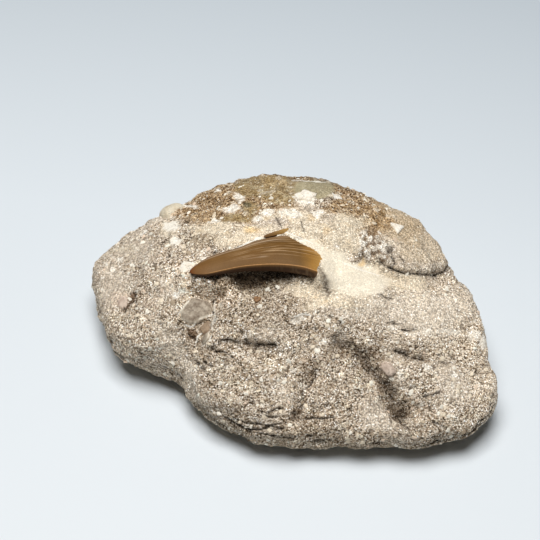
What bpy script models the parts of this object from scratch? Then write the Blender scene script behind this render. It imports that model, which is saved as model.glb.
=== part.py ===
"""Fossil shark tooth in its block of matrix, at real size, resting on z = 0.

The block is a loaf-shaped lump of sandy phosphate rock, broad side down. The tooth lies across its top
with the tip to -X and its root buried in the rock. Plates, flakes and pebbles of other fossils are set
in the rock's skin, each in a pocket of its own. Every form starts as a UV sphere whose two angles are
carried to the real shape. Sizes are in millimetres until a mesh is filled, which is in metres.
"""

import collections
import itertools
import math

import bmesh
import bpy
import numpy as np
from mathutils import Vector
from mathutils.bvhtree import BVHTree

MM = 0.001
# Room left between a piece and the pocket that holds it.
FIT_GAP = 0.3

# The block's outline seen from above, widest all round: (degrees from +X, distance from the middle).
BLOCK_RIM = (
    (-177, 64), (-169, 62), (-160, 54), (-152, 46.5), (-146, 44.5), (-138, 46), (-127, 48),
    (-110, 49.5), (-92, 50.5), (-76, 51.5), (-61, 57.5), (-48, 66.5), (-38, 73.5), (-28, 74.5),
    (-18, 67.5), (-6, 64.5), (5, 60), (14, 57), (28, 55.5), (44, 53), (60, 52.5), (75, 55.5),
    (98, 56.5), (115, 58.5), (130, 61), (141, 65.5), (152, 70), (163, 73.5), (172, 70),
)
# Height of that widest line above the table: (degrees, height).
BLOCK_GIRDLE = (
    (-170, 12), (-145, 10), (-100, 8.5), (-60, 8.5), (-30, 11), (0, 15), (40, 17), (90, 17), (140, 15),
)
# Heights that the upper side passes near, before its edges round over: (x, y, z), and how far each reaches.
UPPER_HEIGHTS = (
    (-45, 42, 32), (-25, 47, 42), (0, 49, 44), (25, 44, 43),
    (-62, 25, 25), (-40, 22, 40), (-15, 25, 47), (10, 25, 48), (33, 22, 45), (50, 14, 36),
    (-66, 5, 22), (-45, 3, 39), (-20, 5, 44), (5, 5, 46), (28, 2, 45), (52, -5, 33),
    (-55, -12, 24), (-35, -12, 38), (-10, -15, 40), (15, -15, 41), (38, -18, 35), (60, -22, 24),
    (-28, -32, 24), (-5, -32, 29), (18, -32, 30), (42, -34, 26), (62, -38, 18),
    (-15, -47, 16), (10, -48, 17), (35, -46, 16),
)
UPPER_SPREAD = 11
# How full the block is between its top and its widest line, in plan and in height.
DOME_REACH, DOME_FALL = 0.85, 0.45
# The flat spot that the block rests on, as a share of the outline.
REST_SHARE = 0.56
# Shares of the way from the top pole to the bottom one: the widest line, and the flat spot's edge within
# what is left below that line.
RIM_RING, REST_RING = 0.74, 0.4
BLOCK_COLUMNS, BLOCK_RINGS = 78, 38

# Furrows in the upper side: (line of plan points, reach to its left, reach to its right, depth). A crack
# or a step has one short reach, and a rib has a depth below nought.
FURROWS = (
    # The hollow in front of the tooth.
    (((-25, -7), (-12, -8), (0, -9), (10, -9)), 4, 5, 3),
    # The ledge at the right and the crack that climbs from its end.
    (((25, 1), (29, -0.5), (34, -2), (41, 1), (46, 3.5), (51, 8), (58, 12)), 2.5, 7, 4),
    (((33, -1), (34, 4), (31, 9)), 2.5, 2.5, 1.5),
    # The valley between the left lobe and the front lobe.
    (((-25, -7), (-28, -14), (-31, -20), (-35, -25), (-41, -31)), 2.5, 8, 5),
    # The crevice over the lens-shaped lump on the front lobe.
    (((-29, -24), (-22, -23), (-16, -25), (-8, -27)), 2, 4, 2),
    # The long hollow down the front lobe, with its side branch and the cracks beside and below it.
    (((16, -26), (20, -29), (24, -33), (30, -38), (34, -43)), 4, 4, 4.5),
    (((27, -26), (35, -26.5), (43, -26)), 2, 3, 2),
    (((7, -32), (3, -37), (2, -43)), 3, 2, 2.5),
    (((30, -42), (33, -44), (41, -43)), 2, 2, 1.5),
    # The pale rib across the left lobe.
    (((-66, -8), (-58, -8), (-52, -8)), 2, 2, -1.2),
)
# Lumps and dents: (x, y, spread, height).
LUMPS = (
    (-23, -27, 4, 1.8), (-8, 46, 5, 2), (11, 10, 7, 2.5), (-57, -2, 4, -1.5), (0, -45, 3, -3),
    (70, -34, 5, 1.5),
)
# Unevenness of the whole skin: (size of a swell, height, seed). It fades out below EVEN_HEIGHT, and it
# moves the skin away from a core point this high up or towards it.
SWELLS = ((17, 2.0, 11), (8, 1.2, 12))
EVEN_HEIGHT = 8
CORE_HEIGHT = 12

# The tooth from its tip into the rock, along +X: (distance, front edge, back edge, y, z, swell of the upper
# side, swell of the lower side). The edges are distances across the blade from the line through (y, z).
TOOTH_TIP_X = -34.5
TOOTH_STATIONS = (
    (0, -1.3, 2.0, -4.4, 41.5, 0.9, 1.0),
    (4.2, -1.1, 6.4, -5.2, 42.3, 1.3, 2.2),
    (11.2, 1.1, 10.7, -6.6, 43.7, 1.7, 3.4),
    (16.2, 2.7, 13.0, -7.7, 44.8, 1.9, 4.2),
    (21.2, 3.6, 16.2, -8.7, 45.8, 2.0, 5.0),
    (30.2, 3.9, 19.0, -9.8, 46.9, 2.1, 6.0),
    (37.2, 2.6, 19.4, -9.3, 46.4, 1.8, 6.5),
    (43.2, 0.2, 20.0, -7.6, 44.4, 1.8, 6.5),
    (48.2, 1.5, 20.0, -5.5, 41.4, 2.4, 5.5),
    (57.2, 5.0, 15.0, -2.0, 36.5, 3.0, 4.0),
)
# Degrees by which the blade's back edge lies lower than its front edge.
TOOTH_ROLL = 5.6
TOOTH_COLUMNS, TOOTH_RINGS = 20, 22
# The small side cusp just behind the crown's shoulder, joined to the same root, in the same terms.
CUSP_TIP_X = -10.3
CUSP_STATIONS = (
    (0, -0.5, 0.5, 8.1, 45.5, 0.5, 0.5),
    (2, -0.7, 0.8, 9.0, 45.5, 0.6, 0.8),
    (5, -0.9, 1.0, 10.2, 45.5, 0.7, 1.2),
    (10, -1.1, 1.2, 11.7, 45.3, 0.8, 1.6),
    (14, -2.0, 2.2, 11.0, 44.3, 1.2, 2.5),
    (17, -2.0, 2.0, 9.5, 43.0, 1.0, 2.5),
)
CUSP_ROLL = 0
CUSP_COLUMNS, CUSP_RINGS = 12, 10
# Rings crowd towards the tip by this power, and the buried end rounds over this length.
TIP_CROWDING, END_ROUNDING = 1.4, 5
# How sharply a blade's upper and lower sides bend in at its edges, from 2 for a knife's edge towards 0 for a
# box's side.
UPPER_BEND, LOWER_BEND = 2, 0.65
# A pocket's sharp edges stand this many gaps off the blade's, so that its sides stand a whole gap off.
EDGE_GROWTH = 1.6

# Pieces set in the rock's skin. The outline is (degrees, radius) about the plan place, and proud is the
# share of the thickness that stands out of the rock.
Inset = collections.namedtuple("Inset", "name place outline thickness proud finish")
INSETS = (
    Inset(
        "bone_plate", (-32.3, -12.2),
        ((-145, 4.8), (-90, 4.1), (-56, 3.2), (-24, 3.6), (0, 5), (75, 4.5), (143, 4.4), (180, 4.8)),
        2.2, 0.3, "bone",
    ),
    Inset(
        "lower_plate", (-29.5, -16.1),
        ((-150, 1.8), (-90, 2.1), (-45, 1.9), (0, 2.2), (60, 2.1), (127, 1)), 1.8, 0.3, "bone",
    ),
    Inset("shell_disc", (-29.4, -19.9), ((-90, 1.5), (0, 2.3), (90, 1.25), (180, 2.2)), 1.8, 0.35, "bone"),
    Inset(
        "white_flake", (-35.9, 2.2),
        ((-150, 2.4), (-75, 1.9), (-10, 2.8), (70, 2.2), (140, 2.4)), 1.4, 0.45, "shell",
    ),
    Inset("pale_pebble", (-42.8, 37.5), ((-90, 4.1), (0, 4.3), (90, 3.6), (180, 4.2)), 7.4, 0.5, "pebble"),
    Inset("amber_grain", (-12.4, -12), ((-90, 1.3), (0, 1.1), (90, 1.3), (180, 1.1)), 2.2, 0.5, "amber"),
    Inset("back_chip", (4, 28), ((-80, 3), (-20, 3), (50, 3.6), (110, 3), (200, 3.6)), 1.8, 0.4, "shell"),
    Inset("corner_chip", (34.9, 18.8), ((-150, 2), (-30, 2), (90, 1.8)), 1.6, 0.4, "shell"),
    Inset("pink_shell", (-57.8, -0.4), ((-90, 2.2), (0, 1.8), (90, 2.4), (180, 1.8)), 2, 0.35, "pink"),
    Inset("pink_pebble", (29.5, -31.8), ((-70, 2.4), (0, 1.8), (80, 2.2), (180, 2)), 3, 0.45, "pink"),
)
INSET_COLUMNS, INSET_RINGS = 12, 7
# How square an inset's rim is, from 1 for an egg towards 0 for a tablet.
INSET_RIM = 0.6

# Colour as sRGB values from 0 to 255, and roughness.
FINISHES = {
    "matrix": ((188, 174, 152), 0.92),
    "tooth": ((134, 101, 65), 0.38),
    "bone": ((142, 126, 107), 0.6),
    "shell": ((226, 217, 201), 0.75),
    "pebble": ((214, 203, 181), 0.65),
    "amber": ((150, 112, 70), 0.4),
    "pink": ((196, 172, 152), 0.6),
}


def smooth_step(t):
    """0 to 1 with flat ends."""
    t = np.clip(t, 0, 1)
    return t * t * (3 - 2 * t)


def curve_through(at, value, where):
    """Value at each place on the smooth curve through (at, value): cubic pieces that share their slopes."""
    slope = np.gradient(value, at)
    i = np.clip(np.searchsorted(at, where, side="right") - 1, 0, len(at) - 2)
    gap = at[i + 1] - at[i]
    t = (where - at[i]) / gap
    return (
        (2 * t**3 - 3 * t**2 + 1) * value[i] + (t**3 - 2 * t**2 + t) * gap * slope[i]
        + (3 * t**2 - 2 * t**3) * value[i + 1] + (t**3 - t**2) * gap * slope[i + 1]
    )


def closed_curve(stops, angle):
    """Value at each angle on the smooth closed curve through the (degrees, value) stops."""
    at, value = np.array(stops, float).T
    at = np.radians(np.concatenate([at[-2:] - 360, at, at[:2] + 360]))
    value = np.concatenate([value[-2:], value, value[:2]])
    return curve_through(at, value, (angle - at[2]) % (2 * np.pi) + at[2])


def lattice_noise(points, cell, seed):
    """Gradient noise, about -1 to 1: every corner of a cubic lattice has a random slope, and the eight
    corners around a point are blended with a curve that is flat at both ends."""
    place = points / cell
    base = np.floor(place)
    inside = place - base
    fade = inside**3 * (inside * (inside * 6 - 15) + 10)
    total = np.zeros(len(points))
    for corner in itertools.product((0, 1), repeat=3):
        key = (base + corner).astype(np.int64)
        mixed = (key[:, 0] * 73856093) ^ (key[:, 1] * 19349663) ^ (key[:, 2] * 83492791) ^ (seed * 2654435761)
        slopes = []
        for _ in range(3):
            mixed = (mixed * 1103515245 + 12345) & 0x7FFFFFFF
            mixed = mixed ^ (mixed >> 13)
            slopes.append((mixed % 2048) / 1023.5 - 1)
        weight = np.prod(np.where(corner, fade, 1 - fade), axis=1)
        total += weight * ((inside - corner) * np.stack(slopes, axis=1)).sum(1)
    return total


def upper_height(x, y):
    """Height of the upper side at each plan point: the control heights, each weighted by a bell around it."""
    px, py, pz = np.array(UPPER_HEIGHTS, float).T
    apart = (x[:, None] - px) ** 2 + (y[:, None] - py) ** 2
    weight = np.exp(-apart / (2 * UPPER_SPREAD**2)) + 1e-9
    return (weight * pz).sum(1) / weight.sum(1)


def furrow_depth(x, y):
    """Depth of the furrows at each plan point: each fades as a bell with the distance from its line, at its
    own rate on either side."""
    depth = np.zeros(len(x))
    for line, left, right, deepest in FURROWS:
        nearest = np.full(len(x), np.inf)
        reach = np.full(len(x), float(left))
        for (ax, ay), (bx, by) in zip(line, line[1:]):
            dx, dy = bx - ax, by - ay
            t = np.clip(((x - ax) * dx + (y - ay) * dy) / (dx * dx + dy * dy), 0, 1)
            px, py = x - ax - t * dx, y - ay - t * dy
            apart = np.hypot(px, py)
            closer = apart < nearest
            nearest = np.where(closer, apart, nearest)
            reach = np.where(closer, np.where(dx * py > dy * px, left, right), reach)
        depth += deepest * np.exp(-((nearest / reach) ** 2))
    return depth


def lump_height(x, y):
    """Height of the lumps at each plan point, each a bell."""
    return sum(high * np.exp(-((x - cx) ** 2 + (y - cy) ** 2) / spread**2) for cx, cy, spread, high in LUMPS)


def swollen(points):
    """The points moved away from the block's core, or towards it, by the swells of its skin."""
    outward = points - (0, 0, CORE_HEIGHT)
    outward /= np.linalg.norm(outward, axis=1, keepdims=True)
    rise = sum(height * lattice_noise(points, size, seed) for size, height, seed in SWELLS)
    return points + outward * (rise * smooth_step(points[:, 2] / EVEN_HEIGHT))[:, None]


def block_surface(around, down):
    """Points of the block for each angle around +Z and each share, 0 to 1, of the way from the top pole
    down to the middle of the base."""
    rim = closed_curve(BLOCK_RIM, around)
    girdle = closed_curve(BLOCK_GIRDLE, around)
    upper = np.clip(down / RIM_RING, 0, 1) * math.pi / 2
    under = np.clip((1 - down) / (1 - RIM_RING), 0, 1)
    above = down <= RIM_RING
    tuck = np.clip((under - REST_RING) / (1 - REST_RING), 0, 1) * math.pi / 2
    below_reach = np.where(
        under > REST_RING, REST_SHARE + (1 - REST_SHARE) * np.sin(tuck), REST_SHARE * under / REST_RING
    )
    reach = np.where(above, np.sin(upper) ** DOME_REACH, below_reach)
    x, y = rim * reach * np.cos(around), rim * reach * np.sin(around)
    dome = np.cos(upper) ** DOME_FALL
    top = girdle + (upper_height(x, y) + lump_height(x, y) - furrow_depth(x, y) - girdle) * dome
    below = girdle * (1 - np.cos(tuck))
    return swollen(np.stack([x, y, np.where(above, top, below)], axis=1))


def blade_surface(stations, tip_x, roll, grow=0):
    """shape(around, down) of a tooth's blade: lens sections from the tip, with a rounded end and sharp edges,
    each rolled about the line of the stations. grow swells it all round, for its pocket."""
    along, *columns = np.array(stations, float).T
    roll = math.radians(roll)

    def shape(around, down):
        far = along[-1] * down**TIP_CROWDING
        front, back, y, z, upper, lower = (curve_through(along, column, far) for column in columns)
        end = np.minimum(far / (back - front) * 2, (along[-1] - far) / END_ROUNDING)
        blunt = np.sqrt(1 - (1 - np.clip(end, 0, 1)) ** 2)
        half = ((back - front) / 2 * blunt) + grow * EDGE_GROWTH
        across = (front + back) / 2 + half * np.cos(around)
        turned = np.abs(np.sin(around))
        over = (upper * blunt + grow) * turned**UPPER_BEND
        under = (lower * blunt + grow) * turned**LOWER_BEND
        swell = np.where(np.sin(around) > 0, over, -under)
        far = far + grow * (2 * down - 1)
        return np.stack([
            tip_x + far,
            y + across * math.cos(roll) + swell * math.sin(roll),
            z - across * math.sin(roll) + swell * math.cos(roll),
        ], axis=1)

    return shape


def inset_surface(inset, grow=0):
    """shape(around, down) of an inset, between an egg and a tablet, with the rock's skin at height 0. grow
    swells it all round, for its pocket."""

    def shape(around, down):
        turn = down * math.pi
        radius = (closed_curve(inset.outline, around) + grow) * np.sin(turn) ** INSET_RIM
        height = np.cos(turn) * (inset.thickness / 2 + grow) + inset.thickness * (inset.proud - 0.5)
        return np.stack([radius * np.cos(around), radius * np.sin(around), height], axis=1)

    return shape


def moulded_sphere(name, columns, rings, shape):
    """A UV sphere whose points are carried by shape(angle around the poles, share of the way from one pole to
    the other)."""
    ball = bmesh.new()
    bmesh.ops.create_uvsphere(ball, u_segments=columns, v_segments=rings, radius=1)
    mesh = bpy.data.meshes.new(name)
    ball.to_mesh(mesh)
    ball.free()
    co = np.empty(len(mesh.vertices) * 3)
    mesh.vertices.foreach_get("co", co)
    co = co.reshape(-1, 3)
    around = np.arctan2(co[:, 1], co[:, 0])
    down = np.arccos(np.clip(co[:, 2], -1, 1)) / math.pi
    mesh.vertices.foreach_set("co", (shape(around, down) * MM).ravel())
    ball = bmesh.new()
    ball.from_mesh(mesh)
    bmesh.ops.recalc_face_normals(ball, faces=ball.faces)
    ball.to_mesh(mesh)
    ball.free()
    return mesh


def material(name):
    """A Principled material in the given colour, which is turned from sRGB to linear."""
    colour, roughness = FINISHES[name]
    made = bpy.data.materials.new(name)
    made.use_nodes = True
    shader = made.node_tree.nodes["Principled BSDF"]
    linear = [((c / 255 + 0.055) / 1.055) ** 2.4 for c in colour]
    shader.inputs["Base Color"].default_value = (*linear, 1)
    shader.inputs["Roughness"].default_value = roughness
    shader.inputs["Metallic"].default_value = 0
    return made


def placed(mesh, collection, stand, finish=None):
    """An object for the mesh in the collection, standing with the others on the rest point."""
    made = bpy.data.objects.new(mesh.name, mesh)
    collection.objects.link(made)
    made.parent = stand
    if finish is None:
        made.hide_render = True
        made.display_type = "WIRE"
    else:
        mesh.materials.append(finish)
        mesh.shade_smooth()
    return made


def joined(first, second):
    """Boolean union, left as a modifier on first."""
    union = first.modifiers.new("joined_to_" + second.name, "BOOLEAN")
    union.operation = "UNION"
    union.object = second


def make_tooth(parts, helpers, cutters, stand, finish):
    """The crown with its root, and the side cusp joined to it, with a pocket cutter for each."""
    crown = (TOOTH_STATIONS, TOOTH_TIP_X, TOOTH_ROLL)
    cusp = (CUSP_STATIONS, CUSP_TIP_X, CUSP_ROLL)
    tooth_mesh = moulded_sphere("shark_tooth", TOOTH_COLUMNS, TOOTH_RINGS, blade_surface(*crown))
    cusp_mesh = moulded_sphere("side_cusp", CUSP_COLUMNS, CUSP_RINGS, blade_surface(*cusp))
    joined(placed(tooth_mesh, parts, stand, finish), placed(cusp_mesh, helpers, stand))
    for name, columns, rings, blade in (
        ("shark_tooth_pocket", TOOTH_COLUMNS, TOOTH_RINGS, crown),
        ("side_cusp_pocket", CUSP_COLUMNS, CUSP_RINGS, cusp),
    ):
        placed(moulded_sphere(name, columns, rings, blade_surface(*blade, FIT_GAP)), cutters, stand)


def make_inset(inset, skin, parts, cutters, stand, finish):
    """A piece lying in the rock's skin at its plan place, turned to the skin's slope, and its pocket."""
    above = Vector((inset.place[0] * MM, inset.place[1] * MM, 1))
    place, slope, _, _ = skin.ray_cast(above, Vector((0, 0, -1)))
    turn = Vector((0, 0, 1)).rotation_difference(slope)
    mesh = moulded_sphere(inset.name, INSET_COLUMNS, INSET_RINGS, inset_surface(inset))
    pocket = moulded_sphere(inset.name + "_pocket", INSET_COLUMNS, INSET_RINGS, inset_surface(inset, FIT_GAP))
    for made in (placed(mesh, parts, stand, finish), placed(pocket, cutters, stand)):
        made.location = place
        made.rotation_mode = "QUATERNION"
        made.rotation_quaternion = turn


def main():
    for old in list(bpy.data.objects):
        bpy.data.objects.remove(old)
    parts, helpers, cutters = (
        bpy.data.collections.new(name)
        for name in ("fossil_shark_tooth_in_matrix", "joining_pieces", "pocket_cutters")
    )
    for collection in (parts, helpers, cutters):
        bpy.context.scene.collection.children.link(collection)
    helpers.hide_render = cutters.hide_render = True
    finishes = {name: material(name) for name in FINISHES}

    stand = bpy.data.objects.new("rest_point", None)
    parts.objects.link(stand)
    rock = moulded_sphere("matrix_block", BLOCK_COLUMNS, BLOCK_RINGS, block_surface)
    corners = np.array([vertex.co for vertex in rock.vertices])
    middle = (corners.min(0) + corners.max(0)) / 2
    stand.location = (-middle[0], -middle[1], 0)
    block = placed(rock, parts, stand, finishes["matrix"])
    skin = BVHTree.FromPolygons(
        [vertex.co for vertex in rock.vertices], [face.vertices for face in rock.polygons]
    )
    make_tooth(parts, helpers, cutters, stand, finishes["tooth"])
    for inset in INSETS:
        make_inset(inset, skin, parts, cutters, stand, finishes[inset.finish])
    pockets = block.modifiers.new("pockets", "BOOLEAN")
    pockets.operation = "DIFFERENCE"
    pockets.operand_type = "COLLECTION"
    pockets.collection = cutters


main()
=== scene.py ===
"""The looks of a fossil shark tooth in its lump of matrix, dressed over the fixed frame of its solids.

Forms are worked out in millimetres about the block's own middle and put into meshes in metres.
"""

import itertools
import math

import bpy
import numpy as np
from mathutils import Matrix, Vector
from mathutils.bvhtree import BVHTree


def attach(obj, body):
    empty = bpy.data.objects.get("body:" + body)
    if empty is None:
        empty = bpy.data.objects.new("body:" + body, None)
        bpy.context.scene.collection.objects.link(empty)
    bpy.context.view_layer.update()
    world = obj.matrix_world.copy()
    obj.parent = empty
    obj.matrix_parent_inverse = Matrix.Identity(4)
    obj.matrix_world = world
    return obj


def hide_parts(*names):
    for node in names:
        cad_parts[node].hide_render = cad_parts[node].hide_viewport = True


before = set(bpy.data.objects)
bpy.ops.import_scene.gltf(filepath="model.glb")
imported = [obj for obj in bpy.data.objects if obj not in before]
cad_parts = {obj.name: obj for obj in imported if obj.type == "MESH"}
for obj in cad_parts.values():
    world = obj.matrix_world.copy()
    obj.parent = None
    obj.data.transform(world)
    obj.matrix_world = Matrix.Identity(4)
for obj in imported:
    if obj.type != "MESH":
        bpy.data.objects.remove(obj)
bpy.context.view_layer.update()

MM = 0.001

# The view
# A viewer half a metre away, looking down on the block at 45 degrees. The block's marks are placed as this
# view shows them, in pixels of a picture 540 wide and high, so the camera comes first.
VIEW_AT = (-0.0061, 0.0114, 0.024)
VIEW_DISTANCE = 0.5
VIEW_DOWN = 45
PICTURE = 540
PIXEL_SIZE = 0.000344
view_ahead = Vector((0, math.cos(math.radians(VIEW_DOWN)), -math.sin(math.radians(VIEW_DOWN))))
camera = bpy.data.objects.new("camera", bpy.data.cameras.new("camera"))
bpy.context.scene.collection.objects.link(camera)
bpy.context.scene.camera = camera
camera.location = Vector(VIEW_AT) - view_ahead * VIEW_DISTANCE
camera.rotation_mode = "QUATERNION"
camera.rotation_quaternion = view_ahead.to_track_quat("-Z", "Y")
camera.data.sensor_width = 36
camera.data.lens = camera.data.sensor_width * VIEW_DISTANCE / (PIXEL_SIZE * PICTURE)
camera.data.clip_start = 0.01


def seen_at(points):
    """Pixels across and down at which the view shows each point: its offset from the view's centre line,
    over its depth along that line."""
    offset = points * MM - np.array(camera.location)
    ahead = np.array(view_ahead)
    upwards = np.array((0, math.sin(math.radians(VIEW_DOWN)), math.cos(math.radians(VIEW_DOWN))))
    focal = VIEW_DISTANCE / PIXEL_SIZE
    depth = offset @ ahead
    return PICTURE / 2 + focal * offset[:, 0] / depth, PICTURE / 2 - focal * (offset @ upwards) / depth


# The matrix block
# A loaf-shaped lump of sandy phosphate rock, broad side down, formed as one piece around its fossils. Its
# skin is a crust of cemented grains, with cracks, ledges and hollows where it was broken out of its bed.
BLOCK_RIM = (
    (-177, 64), (-169, 62), (-160, 54), (-152, 46.5), (-146, 44.5), (-138, 46), (-127, 48),
    (-110, 49.5), (-92, 50.5), (-76, 51.5), (-61, 57.5), (-48, 66.5), (-38, 73.5), (-28, 74.5),
    (-18, 67.5), (-6, 64.5), (5, 60), (14, 57), (28, 55.5), (44, 53), (60, 52.5), (75, 55.5),
    (98, 56.5), (115, 58.5), (130, 61), (141, 65.5), (152, 70), (163, 73.5), (172, 70),
)
BLOCK_GIRDLE = (
    (-170, 12), (-145, 10), (-100, 8.5), (-60, 8.5), (-30, 11), (0, 15), (40, 17), (90, 17), (140, 15),
)
UPPER_HEIGHTS = (
    (-45, 42, 32), (-25, 47, 42), (0, 49, 44), (25, 44, 43),
    (-62, 25, 25), (-40, 22, 40), (-15, 25, 47), (10, 25, 48), (33, 22, 45), (50, 14, 36),
    (-66, 5, 22), (-45, 3, 39), (-20, 5, 44), (5, 5, 46), (28, 2, 45), (52, -5, 33),
    (-55, -12, 24), (-35, -12, 38), (-10, -15, 40), (15, -15, 41), (38, -18, 35), (60, -22, 24),
    (-28, -32, 24), (-5, -32, 29), (18, -32, 30), (42, -34, 26), (62, -38, 18),
    (-15, -47, 16), (10, -48, 17), (35, -46, 16),
)
UPPER_SPREAD = 11
DOME_REACH, DOME_FALL = 0.85, 0.45
REST_SHARE = 0.56
RIM_RING, REST_RING = 0.74, 0.4
FURROWS = (
    (((-25, -7), (-12, -8), (0, -9), (10, -9)), 4, 5, 3),
    (((25, 1), (29, -0.5), (34, -2), (41, 1), (46, 3.5), (51, 8), (58, 12)), 2.5, 7, 4),
    (((33, -1), (34, 4), (31, 9)), 2.5, 2.5, 1.5),
    (((-25, -7), (-28, -14), (-31, -20), (-35, -25), (-41, -31)), 2.5, 8, 5),
    (((-29, -24), (-22, -23), (-16, -25), (-8, -27)), 2, 4, 2),
    (((16, -26), (20, -29), (24, -33), (30, -38), (34, -43)), 4, 4, 4.5),
    (((27, -26), (35, -26.5), (43, -26)), 2, 3, 2),
    (((7, -32), (3, -37), (2, -43)), 3, 2, 2.5),
    (((30, -42), (33, -44), (41, -43)), 2, 2, 1.5),
    (((-66, -8), (-58, -8), (-52, -8)), 2, 2, -1.2),
)
LUMPS = (
    (-23, -27, 4, 1.8), (-8, 46, 5, 2), (11, 10, 7, 2.5), (-57, -2, 4, -1.5), (0, -45, 3, -3),
    (70, -34, 5, 1.5),
)
SWELLS = ((17, 2.0, 11), (8, 1.2, 12))
EVEN_HEIGHT = 8
CORE_HEIGHT = 12
# The solid's own steps round it and down it, from which its middle is found.
SOLID_COLUMNS, SOLID_RINGS = 78, 38
# Cells along each side of the six grids that cover the block.
SKIN_CELLS = 128


def smooth_step(t):
    """0 to 1 with flat ends."""
    t = np.clip(t, 0, 1)
    return t * t * (3 - 2 * t)


def bell(t):
    """1 at nought, falling on either side to 0.37 at a distance of 1 and to almost nothing at 2."""
    return np.exp(-(t**2))


def curve_through(at, value, where):
    """Value at each place on the smooth curve through (at, value): cubic pieces that share their slopes."""
    slope = np.gradient(value, at)
    i = np.clip(np.searchsorted(at, where, side="right") - 1, 0, len(at) - 2)
    gap = at[i + 1] - at[i]
    t = (where - at[i]) / gap
    return (
        (2 * t**3 - 3 * t**2 + 1) * value[i] + (t**3 - 2 * t**2 + t) * gap * slope[i]
        + (3 * t**2 - 2 * t**3) * value[i + 1] + (t**3 - t**2) * gap * slope[i + 1]
    )


def closed_curve(stops, angle):
    """Value at each angle on the smooth closed curve through the (degrees, value) stops."""
    at, value = np.array(stops, float).T
    at = np.radians(np.concatenate([at[-2:] - 360, at, at[:2] + 360]))
    value = np.concatenate([value[-2:], value, value[:2]])
    return curve_through(at, value, (angle - at[2]) % (2 * np.pi) + at[2])


def lattice_random(key, seed):
    """Whole numbers below 2048 for each lattice corner and each of three draws, from mixing its indices."""
    mixed = (key[:, 0] * 73856093) ^ (key[:, 1] * 19349663) ^ (key[:, 2] * 83492791) ^ (seed * 2654435761)
    drawn = []
    for _ in range(3):
        mixed = (mixed * 1103515245 + 12345) & 0x7FFFFFFF
        mixed = mixed ^ (mixed >> 13)
        drawn.append(mixed % 2048)
    return np.stack(drawn, axis=1)


def lattice_noise(points, cell, seed):
    """Gradient noise, about -1 to 1: every corner of a cubic lattice has a random slope, and the eight
    corners around a point are blended with a curve that is flat at both ends."""
    place = points / cell
    base = np.floor(place)
    inside = place - base
    fade = inside**3 * (inside * (inside * 6 - 15) + 10)
    total = np.zeros(len(points))
    for corner in itertools.product((0, 1), repeat=3):
        slopes = lattice_random((base + corner).astype(np.int64), seed) / 1023.5 - 1
        weight = np.prod(np.where(corner, fade, 1 - fade), axis=1)
        total += weight * ((inside - corner) * slopes).sum(1)
    return total


def cell_noise(points, cell, seed):
    """A lattice with one random grain in each cell: the distance to the nearest grain in cells, and that
    grain's own random number from 0 to 1."""
    place = points / cell
    base = np.floor(place).astype(np.int64)
    nearest = np.full(len(points), np.inf)
    own = np.zeros(len(points))
    for step in itertools.product((-1, 0, 1), repeat=3):
        key = base + step
        drawn = lattice_random(key, seed) / 2047
        apart = np.linalg.norm(key + drawn - place, axis=1)
        closer = apart < nearest
        nearest = np.where(closer, apart, nearest)
        own = np.where(closer, (drawn[:, 0] * 7 + drawn[:, 1] * 3) % 1, own)
    return nearest, own


def upper_height(x, y):
    """Height of the upper side at each plan point: the control heights, each weighted by a bell around it."""
    px, py, pz = np.array(UPPER_HEIGHTS, float).T
    total = weights = 0
    for cx, cy, cz in zip(px, py, pz):
        weight = np.exp(-((x - cx) ** 2 + (y - cy) ** 2) / (2 * UPPER_SPREAD**2)) + 1e-9
        total = total + weight * cz
        weights = weights + weight
    return total / weights


def from_line(x, y, line):
    """Distance of each point from a line of points, and whether it lies to the line's left."""
    nearest = np.full(len(x), np.inf)
    on_left = np.zeros(len(x), bool)
    for (ax, ay), (bx, by) in zip(line, line[1:]):
        dx, dy = bx - ax, by - ay
        t = np.clip(((x - ax) * dx + (y - ay) * dy) / (dx * dx + dy * dy), 0, 1)
        px, py = x - ax - t * dx, y - ay - t * dy
        apart = np.hypot(px, py)
        closer = apart < nearest
        nearest = np.where(closer, apart, nearest)
        on_left = np.where(closer, dx * py > dy * px, on_left)
    return nearest, on_left


def furrow_depth(x, y):
    """Depth of the furrows at each plan point: each fades as a bell with the distance from its line, at its
    own rate on either side."""
    depth = np.zeros(len(x))
    for line, left, right, deepest in FURROWS:
        nearest, on_left = from_line(x, y, line)
        depth += deepest * bell(nearest / np.where(on_left, left, right))
    return depth


def lump_height(x, y):
    """Height of the lumps at each plan point, each a bell."""
    return sum(high * np.exp(-((x - cx) ** 2 + (y - cy) ** 2) / spread**2) for cx, cy, spread, high in LUMPS)


def swollen(points):
    """The points moved away from the block's core, or towards it, by the swells of its skin."""
    outward = points - (0, 0, CORE_HEIGHT)
    outward /= np.linalg.norm(outward, axis=1, keepdims=True)
    rise = sum(height * lattice_noise(points, size, seed) for size, height, seed in SWELLS)
    return points + outward * (rise * smooth_step(points[:, 2] / EVEN_HEIGHT))[:, None]


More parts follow.
